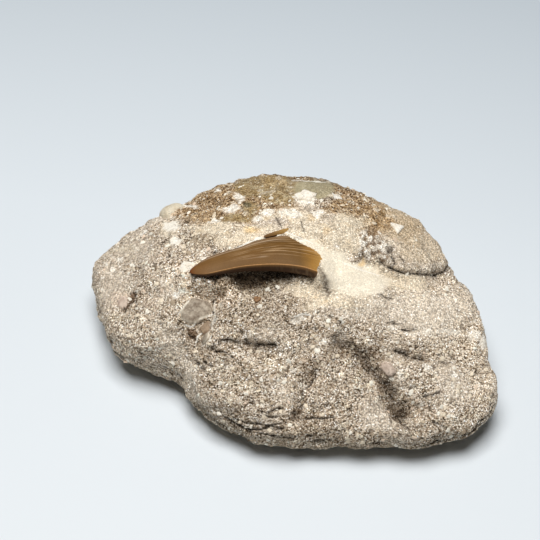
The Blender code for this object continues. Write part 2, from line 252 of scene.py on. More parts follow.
def block_surface(around, down):
    """Points of the block for each angle around +Z and each share, 0 to 1, of the way from the top pole to
    the bottom one. Above the widest line a point's height is a share of the upper side's; below it the side
    tucks under to a flat spot."""
    rim = closed_curve(BLOCK_RIM, around)
    girdle = closed_curve(BLOCK_GIRDLE, around)
    upper = np.clip(down / RIM_RING, 0, 1) * math.pi / 2
    under = np.clip((1 - down) / (1 - RIM_RING), 0, 1)
    above = down <= RIM_RING
    tuck = np.clip((under - REST_RING) / (1 - REST_RING), 0, 1) * math.pi / 2
    below_reach = np.where(
        under > REST_RING, REST_SHARE + (1 - REST_SHARE) * np.sin(tuck), REST_SHARE * under / REST_RING
    )
    reach = np.where(above, np.sin(upper) ** DOME_REACH, below_reach)
    x, y = rim * reach * np.cos(around), rim * reach * np.sin(around)
    dome = np.cos(upper) ** DOME_FALL
    top = girdle + (upper_height(x, y) + lump_height(x, y) - furrow_depth(x, y) - girdle) * dome
    below = girdle * (1 - np.cos(tuck))
    return swollen(np.stack([x, y, np.where(above, top, below)], axis=1))


def block_middle():
    """The middle, in plan, of the box round the solid block's points, which the frame puts at 0."""
    around, down = np.meshgrid(
        np.arange(SOLID_COLUMNS) * 2 * math.pi / SOLID_COLUMNS, np.arange(SOLID_RINGS + 1) / SOLID_RINGS
    )
    points = block_surface(around.ravel(), down.ravel())
    return ((points.min(0) + points.max(0)) / 2) * (1, 1, 0)


def ball_grid(cells):
    """Unit directions spread evenly over a ball and the four-sided faces between them: a square grid on each
    face of a cube, its lines at evenly spaced angles, joined where the cube's faces meet."""
    lines = np.tan(np.linspace(-math.pi / 4, math.pi / 4, cells + 1))
    a, b = (side.ravel() for side in np.meshgrid(lines, lines, indexing="ij"))
    one = np.ones_like(a)
    sides = ((one, a, b), (b, one, a), (a, b, one), (-one, b, a), (a, -one, b), (b, a, -one))
    points = np.concatenate([np.stack(side, axis=1) for side in sides])
    corner = (np.arange(cells)[:, None] * (cells + 1) + np.arange(cells)).ravel()
    square = np.stack([corner, corner + cells + 1, corner + cells + 2, corner + 1], axis=1)
    faces = np.concatenate([square + i * (cells + 1) ** 2 for i in range(len(sides))])
    points /= np.linalg.norm(points, axis=1, keepdims=True)
    _, first, index = np.unique(np.round(points, 6), axis=0, return_index=True, return_inverse=True)
    return points[first], index.reshape(-1)[faces]


def point_normals(points, faces):
    """Each point's outward direction: the sum of the areas of the faces round it, brought to length 1."""
    corners = points[faces]
    areas = np.cross(corners[:, 2] - corners[:, 0], corners[:, -1] - corners[:, 1])
    total = np.zeros_like(points)
    for i in range(faces.shape[1]):
        for axis in range(3):
            total[:, axis] += np.bincount(faces[:, i], areas[:, axis], len(points))
    return total / np.maximum(np.linalg.norm(total, axis=1, keepdims=True), 1e-12)


def mesh_object(name, points, faces, values=None, smooth=True):
    """An object of these points, in millimetres, and faces of one size, with a value or colour per point
    for each named attribute."""
    mesh = bpy.data.meshes.new(name)
    sides = faces.shape[1]
    mesh.vertices.add(len(points))
    mesh.vertices.foreach_set("co", (points * MM).astype(np.float32).ravel())
    mesh.loops.add(faces.size)
    mesh.loops.foreach_set("vertex_index", faces.astype(np.int32).ravel())
    mesh.polygons.add(len(faces))
    mesh.polygons.foreach_set("loop_start", np.arange(0, faces.size, sides, dtype=np.int32))
    mesh.update(calc_edges=True)
    mesh.validate()
    mesh.polygons.foreach_set("use_smooth", np.full(len(faces), smooth))
    for key, value in (values or {}).items():
        if value.ndim == 1:
            mesh.attributes.new(key, "FLOAT", "POINT").data.foreach_set("value", value.astype(np.float32))
        else:
            colour = np.concatenate([value, np.ones((len(value), 1))], axis=1).astype(np.float32)
            mesh.attributes.new(key, "FLOAT_COLOR", "POINT").data.foreach_set("color", colour.ravel())
    made = bpy.data.objects.new(name, mesh)
    bpy.context.scene.collection.objects.link(made)
    return made


def linear(colour):
    """An sRGB colour from 0 to 255 as linear values."""
    return ((np.array(colour, float) / 255 + 0.055) / 1.055) ** 2.4


middle = block_middle()
directions, skin_faces = ball_grid(SKIN_CELLS)
skin = block_surface(
    np.arctan2(directions[:, 1], directions[:, 0]), np.arccos(np.clip(directions[:, 2], -1, 1)) / math.pi
)
skin_normals = point_normals(skin, skin_faces)
u, v = seen_at(skin - middle)
facing = skin_normals @ -np.array(view_ahead)
in_sight = smooth_step((facing + 0.05) / 0.25)

# Marks stray from their drawn course by noise of three sizes: (pixels, millimetres).
STRAYS = ((1.6, 1.7), (2.2, 3.5), (3.5, 9))
wander_u, wander_v = (
    sum(reach * lattice_noise(skin, cell, seed) for (reach, cell), seed in zip(STRAYS, seeds))
    for seeds in ((20, 21, 22), (25, 23, 24))
)

# Marks of the block's skin, as the view shows them.
# Patches: (across, down, reach across, reach down), in pixels.
CREAM_SMOOTH = (
    (350, 278, 28, 15), (372, 283, 18, 11), (331, 262, 17, 12), (312, 250, 17, 8), (171, 226.5, 8, 3.6),
    (176, 241, 4.4, 5),
)
CREAM_POWDER = (
    (310, 232, 32, 13), (345, 240, 22, 14), (238, 240, 30, 8), (258, 232, 22, 8), (214, 228, 24, 7),
    (300, 214, 24, 7), (303, 290, 20, 9), (350, 222, 20, 9), (376, 276, 24, 12), (170, 228, 12, 7),
    (176, 241, 6, 6.5), (268, 216, 9, 4), (404, 282, 24, 8), (335, 302, 34, 8), (350, 282, 44, 19),
)
BROWN_CRUST = (
    (222, 196, 42, 14), (196, 212, 16, 8), (268, 203, 20, 5), (356, 200, 24, 20), (377, 220, 15, 13),
    (347, 183, 16, 11), (366, 234, 10, 5), (300, 172, 70, 6), (205, 188, 30, 7), (252, 204, 40, 10),
    (212, 214, 34, 9), (246, 216, 16, 7), (335, 207, 16, 6), (282, 206, 14, 6),
)
PALE_BROWN = ((404, 226, 26, 18), (390, 205, 22, 12))
OLIVE_CREST = ((268, 184, 34, 12), (247, 187, 14, 9), (280, 192, 20, 11), (236, 218, 18, 4), (250, 207, 8, 7))
GREEN_LENS = ((315, 187.5, 21, 11.5),)
# Painted shade on the rock under the tooth's front edge, where its shadow falls.
UNDER_TOOTH_SHADE = ((284, 273, 30, 5), (250, 280, 20, 8))
GREY_ROUGH = ((200, 240, 17, 7), (250, 280, 34, 12), (240, 275, 30, 8))
WHITE_BLOBS = (
    (232, 208.5, 10, 4.4), (239, 198, 5, 4), (191, 206.5, 7, 1.8), (217, 190, 4, 1.6), (268, 211, 6, 3),
    (259, 219, 6, 2.4), (292, 213, 9, 4), (213, 221, 6, 1.6), (305, 198, 10, 6), (338, 196, 4, 2.4),
    (172, 226, 9, 5), (176, 241, 5, 5.5), (265, 213, 6, 3), (284, 213, 7, 3.5), (318, 212, 6, 4),
    (427, 331.5, 5.5, 3), (410, 334, 6.5, 2.6), (428, 369, 4, 3.4), (391, 328, 4, 2.4), (401, 375, 2.4, 5),
    (324, 341, 3.6, 3.6), (370, 345, 2.4, 2.2), (420, 406, 2.2, 2), (438, 414, 2.4, 2), (263, 405.5, 2.2, 2),
    (296, 322, 6, 2.4), (202, 258, 2.5, 2), (232, 270.5, 3, 1.8), (209, 299, 2.6, 1.4), (220, 305, 2.2, 1.3),
    (383, 349, 1.6, 1.6), (474, 336, 6, 5), (483, 343, 5, 7), (449, 332, 12, 2.6), (454, 374, 4, 2.4),
    (452, 385, 2.4, 4), (295, 372, 3, 2.4), (106, 263, 1.8, 1.8), (119, 260, 4, 2.4), (112.5, 269.5, 2.4, 3),
    (146, 231, 3.6, 1.6), (102, 289, 2, 1.6), (99, 283, 1.5, 1.5), (173.5, 269.5, 1.7, 1.7),
    (161, 270.5, 1.5, 1.5), (142, 234, 2, 1.2), (301, 317, 6, 3), (176, 295, 5, 3), (184, 292, 4, 2),
    (336, 245, 3, 2),
)
FINE_SANDY = (
    (418, 240, 40, 36), (420, 312, 54, 26), (355, 305, 50, 14), (410, 208, 34, 18), (300, 226, 60, 16),
    (112, 285, 18, 26), (132, 250, 26, 13), (120, 298, 9, 9),
)
# Painted shade along the long hollow of the front and in other dips.
HOLLOW_SHADE = (
    (196, 309, 10, 9), (350, 350, 20, 8), (372, 362, 14, 14), (388, 384, 13, 18), (398, 408, 10, 12),
    (310, 372, 8, 16),
)
WHITE_CLUSTER = ((369, 239, 9, 8), (381, 249, 9, 8), (367, 252, 9, 6), (384, 259, 7, 5), (376, 234, 5, 4))
PALE_RIGHT = (
    (470, 330, 20, 40), (440, 305, 40, 22), (448, 335, 22, 14), (482, 380, 14, 18), (420, 335, 26, 8),
)
BEIGE_SLAB = ((425, 250, 26, 14),)
PINK_SKIN = ((120, 299, 9, 8),)
ORANGE_TINT = ((250, 230, 6, 4), (362, 265, 3, 2.5))
GREY_FOOT = ((300, 430, 26, 16), (355, 437, 50, 9), (258, 348, 18, 4))
DULL_SAND = ((262, 312, 44, 22), (200, 312, 16, 18), (195, 345, 22, 12))
LIGHT_SAND = ((440, 318, 50, 30), (142, 345, 30, 16), (385, 300, 40, 10))
DARK_FIBRE = ((192, 334, 5.5, 5.5), (131.5, 296, 2.4, 4), (129.5, 301, 2.6, 4), (126, 306, 2.6, 3.5))
DARK_SPOT = ((247.5, 203.5, 4, 2.4),)
PALE_LOBE = ((122, 248, 14, 4), (120, 318, 16, 4), (240, 384, 14, 5))
# Cracks and crevices: (line, reach in pixels, depth in millimetres, how dark the painted shade in it is).
CRACKS = (
    (((381, 263), (392, 269), (405, 273.5), (416, 274), (437, 275), (446.5, 270.5), (450, 264)),
     1.5, 1.5, 0.9),
    (((317, 281), (322, 287.5), (329, 294)), 2.6, 0.7, 0.85),
    (((301.5, 408), (302.8, 400), (302, 390), (306.5, 388.5), (314.5, 377.5), (316, 370)), 1.2, 0.7, 0.8),
    (((215, 351), (222, 350.7), (227, 353), (233, 357)), 1.2, 0.9, 1),
    (((212, 348), (221, 341.6), (228, 340), (240, 343.7), (258, 345), (273, 346.5)), 1.8, 0.9, 0.9),
    (((260, 411), (267, 413), (275.4, 409), (282.5, 408)), 1.6, 0.8, 0.9),
    (((223, 419.5), (233, 426.5), (246, 430.7), (258.6, 430.7), (270, 426.5), (278, 428)), 1.6, 0.9, 0.95),
    (((256, 424), (266, 426), (281, 423.7)), 1.6, 0.8, 0.9),
    (((232, 420), (246, 424), (256, 424)), 1.3, 0.6, 0.6),
    (((303.5, 418), (312, 417.3), (320.3, 418.7), (333, 417.5)), 1.1, 0.6, 0.8),
    (((389, 322.7), (397, 323.5)), 1.2, 0.6, 0.9),
    (((402.5, 329.6), (409, 330.5), (415.5, 329.4)), 1.4, 0.9, 1),
    (((394.5, 351), (404.7, 353.3), (412, 357), (424, 359.4)), 2.0, 0.9, 0.9),
    (((440, 361), (445, 363.5), (450, 363)), 1.5, 0.6, 0.7),
    (((424, 397), (429, 395.5)), 1.8, 0.7, 0.9),
    (((433, 395.5), (439, 392.5)), 1.8, 0.7, 0.9),
    (((451, 403), (456, 405)), 1.4, 0.5, 0.6),
    (((399.6, 417.6), (403, 423), (408, 427)), 1.4, 0.8, 0.9),
    (((433, 421.6), (439, 424), (445, 428)), 1.4, 0.7, 0.9),
    (((394.5, 430), (401, 435)), 1.2, 0.5, 0.7),
    (((133, 294), (131, 301), (127, 306), (124, 310)), 2.3, 0.9, 0.3),
    (((196, 362), (199, 364)), 1.4, 0.5, 1), (((203, 360.5), (206, 363)), 1.3, 0.5, 0.9),
    (((201, 368), (204.5, 370)), 1.4, 0.5, 0.95), (((208, 365), (212, 366)), 1.2, 0.4, 0.8),
    (((106, 341), (109, 343)), 1.6, 0.6, 0.8), (((266, 416), (272, 417.5), (279, 416.5)), 1.6, 0.6, 0.9),
    (((263, 429), (272, 430), (286, 428)), 1.5, 0.6, 0.9), (((268, 436), (276, 437)), 1.4, 0.5, 0.8),
    (((213.3, 301.7), (212.3, 305), (212.9, 313)), 1.2, 0.7, 0.95),
    (((179, 321), (185, 325)), 1.3, 0.5, 0.8),
    (((188.5, 335), (192.5, 337.5), (196, 340)), 1.4, 0.5, 0.7),
    (((338, 341), (352, 349), (366, 361), (378, 377), (391, 393), (394, 406), (400, 417)), 7, 0.9, 0.42),
    (((392, 253), (396, 262), (393, 268)), 1.6, 0.8, 0.8),
    (((398, 253), (406, 264)), 1.2, 0.4, 0.6),
    (((380, 294), (386, 297), (391, 298)), 1.6, 0.4, 0.6),
    (((276, 218), (281, 226)), 1.6, 0.5, 0.5),
    (((300.5, 219), (302, 226), (304, 231)), 0.9, 0.3, 0.6),
    (((262, 277), (268, 280), (275.5, 287)), 1.2, 0.5, 0.6),
    (((169.5, 234), (168.5, 240), (170, 247)), 1.0, 0.5, 0.5),
)
# A crack no wider than this is also drawn as a fine dark line of painted shade.
FINE_CRACK = 2.4
# Fine pale edges of shell in the skin: (line, strength).
PALE_THREADS = (
    (((188, 301.5), (184, 306), (178.4, 314)), 0.9),
    (((199.5, 319), (206, 316.8), (212.4, 314.8)), 0.95),
    (((186, 325), (190.5, 327), (194, 325.6), (195.3, 322.5)), 0.9),
    (((214.6, 303), (214.4, 316), (211, 325)), 0.6),
    (((196, 342), (197.6, 336.4), (201, 333.6)), 0.95),
    (((210.5, 335), (208.5, 341), (202, 345.5)), 0.6),
    (((333, 193), (335, 197), (342, 198.4)), 0.9),
    (((296, 316), (302, 313.6), (310, 315)), 0.7),
    (((345, 263), (360, 269), (378, 275)), 0.5),
    (((292, 176.6), (308, 178.5), (326, 178)), 0.6),
    (((238, 246), (247, 242.6), (256.5, 238.6), (264, 236.4), (269, 235.6)), 0.95),
    (((287, 232.4), (294, 236), (303, 241), (312, 245.4)), 0.85),
)
# The scooped hollow under the tooth's front edge, the thin pale lip that the matrix raises along its back,
# the bed of its side cusp, the knob on the crest and the rest under the tooth's tip.
SCOOP = ((240, 281), (252, 282), (264, 279), (284, 275.5))
LIP = ((243, 247.5), (256.5, 241.5), (267, 238.6), (281, 235.8), (292, 239.6), (303, 245.5))
CUSP_BED = ((268, 239.5), (280, 237), (294, 235.5))
CREST_KNOB = ((264, 179), (284, 180))
TIP_REST = ((188, 279), (220, 284))
# A patch of the front foot that lies a little farther in.
FOOT_EDGE = ((218, 424, 46, 20),)
# Pits: (across, down, reach in pixels, depth in millimetres, how dark the painted shade in it is).
PITS = (
    (390.5, 249, 3.2, 1.6, 0.75), (197, 363, 2.6, 0.9, 0.6), (204, 362, 2.2, 0.8, 0.6),
    (203, 368.5, 2.4, 0.9, 0.6), (210, 366, 2, 0.6, 0.5), (334, 358, 2.6, 1.0, 0.6), (328, 405, 2, 0.8, 0.5),
    (295, 416, 4, 1.4, 0.4), (245, 341, 2.2, 0.9, 0.6), (107, 342, 3, 1.0, 0.5), (207, 357, 2, 0.5, 0.3),
    (297, 318, 3, 0.7, 0.4), (270, 347, 4, 0.8, 0.4), (256, 349, 4, 0.8, 0.4), (225, 365, 2, 0.4, 0.3),
    (352, 350, 4, 0.6, 0.35),
)


def patch(patches, ragged, sharp):
    """How far each point is inside the patches, 0 to 1, with wandering edges: 1 less the distance from a
    patch's middle in its own reaches, steepened."""
    inside = np.zeros(len(u))
    for across, down, reach_u, reach_v in patches:
        away = np.hypot((u + ragged * wander_u - across) / reach_u, (v + ragged * wander_v - down) / reach_v)
        inside = np.maximum(inside, smooth_step((1 - away) * sharp + 0.5))
    return inside * in_sight


def along_line(line, reach, stray=0):
    """1 on a line of the view, falling off on either side as a bell over its reach in pixels."""
    away, _ = from_line(u + stray * wander_u, v + stray * wander_v, line)
    return bell(away / reach) * in_sight


def nearest_mark(lines):
    """For each point its distance in pixels from the nearest of the (line, strength) lines, below nought on
    one side, and how strong the marks are around it."""
    signed = np.full(len(u), 9.0)
    strong = np.zeros(len(u))
    for line, strength in lines:
        away, on_left = from_line(u, v, line)
        signed = np.where(away < np.abs(signed), np.where(on_left, away, -away), signed)
        strong = np.maximum(strong, strength * smooth_step((4.5 - away) / 3))
    return signed, strong * smooth_step((facing - 0.1) / 0.25)


cream = patch(CREAM_SMOOTH, 2.4, 1.8)
powder = patch(CREAM_POWDER, 2.8, 1.4)
brown = patch(BROWN_CRUST, 2.0, 1.4)
olive = patch(OLIVE_CREST, 0.9, 2.5)
green = patch(GREEN_LENS, 0.6, 3.5)
blobs = patch(WHITE_BLOBS, 1.1, 2.2)
cluster = patch(WHITE_CLUSTER, 1.5, 2.0)
skin_z = skin[:, 2]
# The far side, out of sight, carries the crest's brown crust down in fingers to about this height.
CRUST_FOOT = 24
fingers = smooth_step((skin_z - CRUST_FOOT) / 14 + 1.6 * lattice_noise(skin, 13, 31))
brown = np.maximum(brown, (1 - in_sight) * fingers)

# The skin's relief in millimetres: grit, chips and small holes where nothing smooth covers it, broad swells
# everywhere, and bedding that weathers out in ledges at the foot, below this height.
BEDDING_TOP = 17
rough = 1 - np.maximum.reduce([
    np.clip(0.95 * cream + 0.62 * powder + 0.5 * olive + 0.75 * green, 0, 0.93),
    0.45 * smooth_step(lattice_noise(skin, 13, 39) * 2.2),
    0.5 * patch(FINE_SANDY, 3, 1), 0.7 * blobs, 0.45 * cluster,
])
grains, _ = cell_noise(skin, 1.25, 41)
chips, chip_own = cell_noise(skin, 2.9, 42)
holes, hole_own = cell_noise(skin, 3.6, 43)
chip = smooth_step((0.5 - chips) / 0.14) * (chip_own > 0.72)
hole = smooth_step((0.34 - holes) / 0.2) * (hole_own > 0.7)
fine = 0.26 * (0.45 - grains) + 0.3 * lattice_noise(skin, 1.6, 44) + 0.16 * lattice_noise(skin, 0.95, 45)
swells = (0.35 + 0.65 * rough) * (1.15 * lattice_noise(skin, 6, 46) + 0.7 * lattice_noise(skin, 3, 47))
bedding = smooth_step((lattice_noise(skin * (0.09, 0.09, 0.62), 1, 48) - 0.22) / 0.2)
bedding *= smooth_step((BEDDING_TOP - skin_z) / 8) * smooth_step((skin_z - 1.5) / 3)
nodules, _ = cell_noise(skin, 2.5, 49)
nodule = smooth_step((0.66 - nodules + 0.45 * lattice_noise(skin, 1.2, 50)) / 0.14)
relief = rough * (fine + 0.28 * chip - 0.5 * hole) + swells - 0.8 * bedding
relief += 0.2 * blobs + cluster * (0.55 * nodule - 0.3)

# Cracks narrow and widen, and close here and there. Fine ones hold their course better.
# Painted shade: the colour darkens in holes of the gritty skin, in the bedding ledges at the foot, and along
# cracks and in pits.
crevice_shade = 0.45 * hole * rough + 0.5 * bedding
break_up = np.clip(0.85 + 0.9 * lattice_noise(skin, 2.2, 53), 0.35, 1.4)
gaping = smooth_step(2.4 * break_up - 0.9)
for line, reach, deep, dark in CRACKS:
    is_fine = reach <= FINE_CRACK
    cut = along_line(line, reach * break_up, 0.15 if is_fine else 0.7) * gaping
    relief -= deep * cut
    crevice_shade = np.maximum(crevice_shade, (0.55 * dark if is_fine else dark) * cut)
for across, down, reach, deep, dark in PITS:
    cut = bell(np.hypot(u + 0.3 * wander_u - across, v + 0.3 * wander_v - down) / reach) * in_sight
    relief -= deep * cut
    crevice_shade = np.maximum(crevice_shade, dark * cut)
seam, seam_shade = nearest_mark([(line, dark) for line, reach, _, dark in CRACKS if reach <= FINE_CRACK])
thread, thread_pale = nearest_mark(PALE_THREADS)
scoop = along_line(SCOOP, 8.5)
lip = along_line(LIP, 1.7, 0.15)
relief += 0.5 * lip - 1.8 * scoop + 0.35 * along_line(CUSP_BED, 2.1)
relief += 1.1 * smooth_step((7 - from_line(u, v, CREST_KNOB)[0]) / 5)
# The rock stays close under the tooth's tip, a little lower along its crest, and a little smaller all round.
relief += 4.4 * along_line(TIP_REST, 12.5)
relief -= 1.3 * bell(np.hypot((skin[:, 0] - 14) / 26, (skin[:, 1] - 48) / 9)) * smooth_step(skin_z / 30)
relief -= 0.25 + 0.8 * patch(FOOT_EDGE, 0, 1)

# The skin is level round each piece that is set in it, as (plan place, reach, depth of its dip under the
# piece). A dip below nought laps up the piece's sides.
SEATS = {
    "bone_plate": ((-32.3, -12.2), 5, -0.2),
    "lower_plate": ((-29.5, -16.1), 2.4, 0.55),
    "shell_disc": ((-29.4, -19.9), 2.0, 0.55),
    "white_flake": ((-35.9, 2.2), 2.6, 0.65),
    "pale_pebble": ((-42.8, 37.5), 4, -1.1),
    "amber_grain": ((-12.4, -12), 1.2, 0),
    "back_chip": ((4, 28), 3.2, 0.1),
    "corner_chip": ((34.9, 18.8), 1.9, 0.2),
    "pink_shell": ((-57.8, -0.4), 2, -0.1),
    "pink_pebble": ((29.5, -31.8), 2, -0.3),
}
ABOVE_ALL = 100
smooth_skin = BVHTree.FromPolygons([tuple(point) for point in skin], [tuple(face) for face in skin_faces])


def skin_seat(place):
    """Where a line straight down through a plan place meets the block's skin, and the way the skin faces."""
    hit, slope, _, _ = smooth_skin.ray_cast(Vector((*place, ABOVE_ALL)), Vector((0, 0, -1)))
    return np.array(hit), slope


for place, reach, dip in SEATS.values():
    away = np.linalg.norm(skin - skin_seat(place)[0], axis=1) / reach
    level = smooth_step((1.5 - away) / 0.6)
    relief = relief * (1 - level) - dip * smooth_step((1.25 - away) / 0.3)


def toward(tints, colour, amount):
    """The tints moved towards a colour by each point's amount."""
    return tints + (linear(colour) - tints) * np.clip(amount, 0, 1)[:, None]


# Each colour goes over those before it by its amount: drifts of sand, the named patches, then the marks.
SAND = (216, 203, 185)
tint = np.tile(linear(SAND), (len(skin), 1))
drift = lattice_noise(skin, 16, 51) + 0.6 * lattice_noise(skin, 6, 52)
mottle = lattice_noise(skin, 2.6, 54) + 0.7 * lattice_noise(skin, 1.3, 55)
stain = smooth_step(2.2 * lattice_noise(skin * (0.6, 1, 1), 2.4, 56) - 0.25)
for colour, amount in (
    ((231, 221, 205), 1.1 * drift),
    ((193, 181, 164), -1.1 * drift),
    ((190, 174, 148), 0.5 * smooth_step((13 - skin_z) / 9)),
    ((238, 225, 205), 0.75 * patch(PALE_RIGHT, 2.5, 1.2)),
    ((217, 199, 171), 0.7 * patch(BEIGE_SLAB, 1.5, 1.8)),
    ((200, 178, 144), 0.75 * patch(PALE_BROWN, 2.5, 1.2)),
    ((182, 152, 112), 0.9 * brown),
    ((206, 182, 146), 0.8 * brown * smooth_step(2.2 * mottle)),
    ((140, 111, 70), 0.8 * brown * smooth_step(-2.0 * mottle)),
    ((232, 218, 193), 0.85 * powder),
    ((208, 180, 138), 0.6 * powder * stain),
    ((178, 162, 138), 0.65 * patch(GREY_ROUGH, 1.5, 2)),
    ((166, 143, 102), 0.9 * olive),
    ((134, 111, 70), 0.7 * olive * smooth_step(-2.4 * mottle)),
    ((182, 168, 136), 0.7 * olive * smooth_step(2.4 * mottle)),
    ((166, 155, 124), 0.95 * green),
    ((186, 176, 148), 0.6 * green * smooth_step(2 * mottle)),
    ((236, 225, 203), cream),
    ((224, 206, 186), 0.8 * patch(PINK_SKIN, 0.8, 1.6)),
    ((240, 206, 150), 0.7 * patch(ORANGE_TINT, 0.8, 1.5)),
    ((226, 214, 192), 0.7 * patch(PALE_LOBE, 1.5, 2)),
    ((134, 108, 80), 0.75 * cluster * (1 - nodule)),
    ((240, 233, 219), np.maximum(0.9 * cluster * nodule, 0.95 * blobs * smooth_step(1.6 + 2.5 * mottle))),
    ((234, 225, 206), 0.8 * chip * rough * (chip_own > 0.8)),
    ((86, 82, 58), 0.8 * patch(DARK_SPOT, 0.8, 2)),
    ((172, 157, 137), 0.6 * patch(GREY_FOOT, 2.0, 1.4)),
    # painted shade in hollows
    ((158, 141, 120), 0.7 * patch(HOLLOW_SHADE, 2.5, 1.2)),
    ((180, 166, 147), 0.55 * patch(DULL_SAND, 4, 1)),
    ((233, 221, 203), 0.5 * patch(LIGHT_SAND, 5, 1)),
    ((116, 90, 66), 0.9 * patch(DARK_FIBRE, 0.5, 2.5)),
    # Painted shade in the scooped hollow under the tooth's front edge.
    ((150, 136, 112), 0.5 * scoop),
    # painted shade under the tooth's front edge
    ((88, 70, 50), 0.8 * patch(UNDER_TOOTH_SHADE, 1.0, 2)),
    ((248, 240, 224), 0.95 * lip),
    # painted shade in holes, ledges, cracks and pits
    ((70, 56, 42), crevice_shade),
):
    tint = toward(tint, colour, amount)
# Painted shade and light from the relief: low spots of the gritty skin are darkened and high spots lightened.
tint *= np.clip(1 + 0.5 * (relief - swells) * rough, 0.6, 1.2)[:, None]
tint = np.clip(tint, 0.01, 0.93)

rock = skin + skin_normals * (relief * smooth_step(skin_z / 3))[:, None]

# The tooth's blades, in the rock's terms: from the tip into the rock along +X, (distance, front edge, back
# edge, y, z, swell of the upper side, swell of the lower side).
TOOTH_TIP_X = -34.5
TOOTH_STATIONS = (
    (0, -1.3, 2.0, -4.4, 41.5, 0.9, 1.0),
    (4.2, -1.1, 6.4, -5.2, 42.3, 1.3, 2.2),
    (11.2, 1.1, 10.7, -6.6, 43.7, 1.7, 3.4),
    (16.2, 2.7, 13.0, -7.7, 44.8, 1.9, 4.2),
    (21.2, 3.6, 16.2, -8.7, 45.8, 2.0, 5.0),
    (30.2, 3.9, 19.0, -9.8, 46.9, 2.1, 6.0),
    (37.2, 2.6, 19.4, -9.3, 46.4, 1.8, 6.5),
    (43.2, 0.2, 20.0, -7.6, 44.4, 1.8, 6.5),
    (48.2, 1.5, 20.0, -5.5, 41.4, 2.4, 5.5),
    (57.2, 5.0, 15.0, -2.0, 36.5, 3.0, 4.0),
)
TOOTH_ROLL = math.radians(5.6)
CUSP_TIP_X = -10.3
CUSP_STATIONS = (
    (0, -0.5, 0.5, 8.1, 45.5, 0.5, 0.5),
    (2, -0.7, 0.8, 9.0, 45.5, 0.6, 0.8),
    (5, -0.9, 1.0, 10.2, 45.5, 0.7, 1.2),
    (10, -1.1, 1.2, 11.7, 45.3, 0.8, 1.6),
    (14, -2.0, 2.2, 11.0, 44.3, 1.2, 2.5),
    (17, -2.0, 2.0, 9.5, 43.0, 1.0, 2.5),
)
TIP_CROWDING, TIP_TAPER, END_ROUNDING = 1.4, 1.35, 5
# How sharply the upper and the lower side bend in at the blade's edges.
UPPER_BEND, LOWER_BEND = 2, 0.65


def blade_sections(far, stations):
    """A blade's sections at these distances from its tip: front edge, back edge, y, z, swell of the upper
    and of the lower side, and the share of its size that its rounded ends leave."""
    along, *columns = np.array(stations, float).T
    sections = [curve_through(along, column, np.clip(far, 0, along[-1])) for column in columns]
    end = np.minimum(far / (sections[1] - sections[0]) * TIP_TAPER, (along[-1] - far) / END_ROUNDING)
    return *sections, np.sqrt(1 - (1 - np.clip(end, 0, 1)) ** 2)


def blade_sides(points, stations, tip_x, roll):
    """Under and over each point: how far in plan it lies inside the blade, 1 at its middle, 0 at its edge and
    less outside, and the heights of the blade's lower and upper sides."""
    far = points[:, 0] - tip_x
    front, back, y, z, upper, lower, blunt = blade_sections(far, stations)
    across = (points[:, 1] - y) / math.cos(roll)
    lens = 1 - ((across - (front + back) / 2) / np.maximum((back - front) / 2 * blunt, 0.01)) ** 2
    spine = z - across * math.sin(roll)
    lens = np.where((far > 0) & (far < stations[-1][0]), lens, -9)
    over = np.maximum(lens, 0)
    lowest = spine - lower * blunt * over ** (LOWER_BEND / 2)
    highest = spine + upper * blunt * over ** (UPPER_BEND / 2)
    return lens, lowest, highest


# Matrix laps over the root end from this line rightwards.
ROOT_COVER = (
    (282, 233), (286, 236), (293, 240.5), (303, 245.5), (312, 250), (318, 255), (320.5, 260), (316.5, 264),
    (315, 268), (316, 273), (317.5, 278), (317, 284), (315, 296),
)
LAP_STRAY, LAP_THICKNESS, LAP_STEPS = 0.42, 0.45, 26
TOOTH_CLEARANCE = 0.2
inside, lower_side, upper_side = blade_sides(rock, TOOTH_STATIONS, TOOTH_TIP_X, TOOTH_ROLL)
there, beside = inside > 0, inside > -0.4
over_u, over_v = seen_at(np.column_stack([rock[:, :2], np.where(beside, upper_side, rock[:, 2])]) - middle)
past, bare = from_line(over_u + LAP_STRAY * wander_u, over_v + LAP_STRAY * wander_v, ROOT_COVER)
lapping = smooth_step(np.where(bare, -past, past) / 2.6 + 0.5)
lift = np.maximum(upper_side + LAP_THICKNESS - rock[:, 2], 0) * lapping
lift = np.where(beside & (skin_z > EVEN_HEIGHT), lift, 0)
# Beside the tooth the lap runs down to the rock, evened out over its neighbours step by step.
skin_sharing = np.bincount(skin_faces.ravel())
held = lift.copy()
for _ in range(LAP_STEPS):
    around_it = held[skin_faces].mean(1)
    around_it = sum(np.bincount(skin_faces[:, i], around_it, len(skin)) for i in range(4)) / skin_sharing
    held = np.maximum(np.where(beside, lift, around_it * lapping), lift)
under_tooth = np.minimum(rock[:, 2], lower_side - TOOTH_CLEARANCE)
rock[:, 2] = np.where(there, under_tooth + (rock[:, 2] + held - under_tooth) * lapping, rock[:, 2] + held)
rock[:, 2] = np.maximum(rock[:, 2], 0)

block = mesh_object("rock_skin", rock - middle, skin_faces, {
    "tint": tint, "grit": rough, "seam": seam, "seam_shade": seam_shade,
    "thread": thread, "thread_pale": thread_pale,
})


def feed(tree, node, inputs):
    """Gives each input, by name or number, its value or the socket that feeds it."""
    for name, value in inputs.items():
        if isinstance(value, bpy.types.NodeSocket):
            tree.links.new(value, node.inputs[name])
        else:
            node.inputs[name].default_value = value


def add(tree, kind, inputs=(), **settings):
    """A new node of this kind with its settings and inputs."""
    made = tree.nodes.new("ShaderNode" + kind)
    for name, value in settings.items():
        setattr(made, name, value)
    feed(tree, made, dict(inputs))
    return made


def sums(tree, operation, *values):
    """The result of one Math node on these values or sockets."""
    return add(tree, "Math", dict(enumerate(values)), operation=operation).outputs[0]


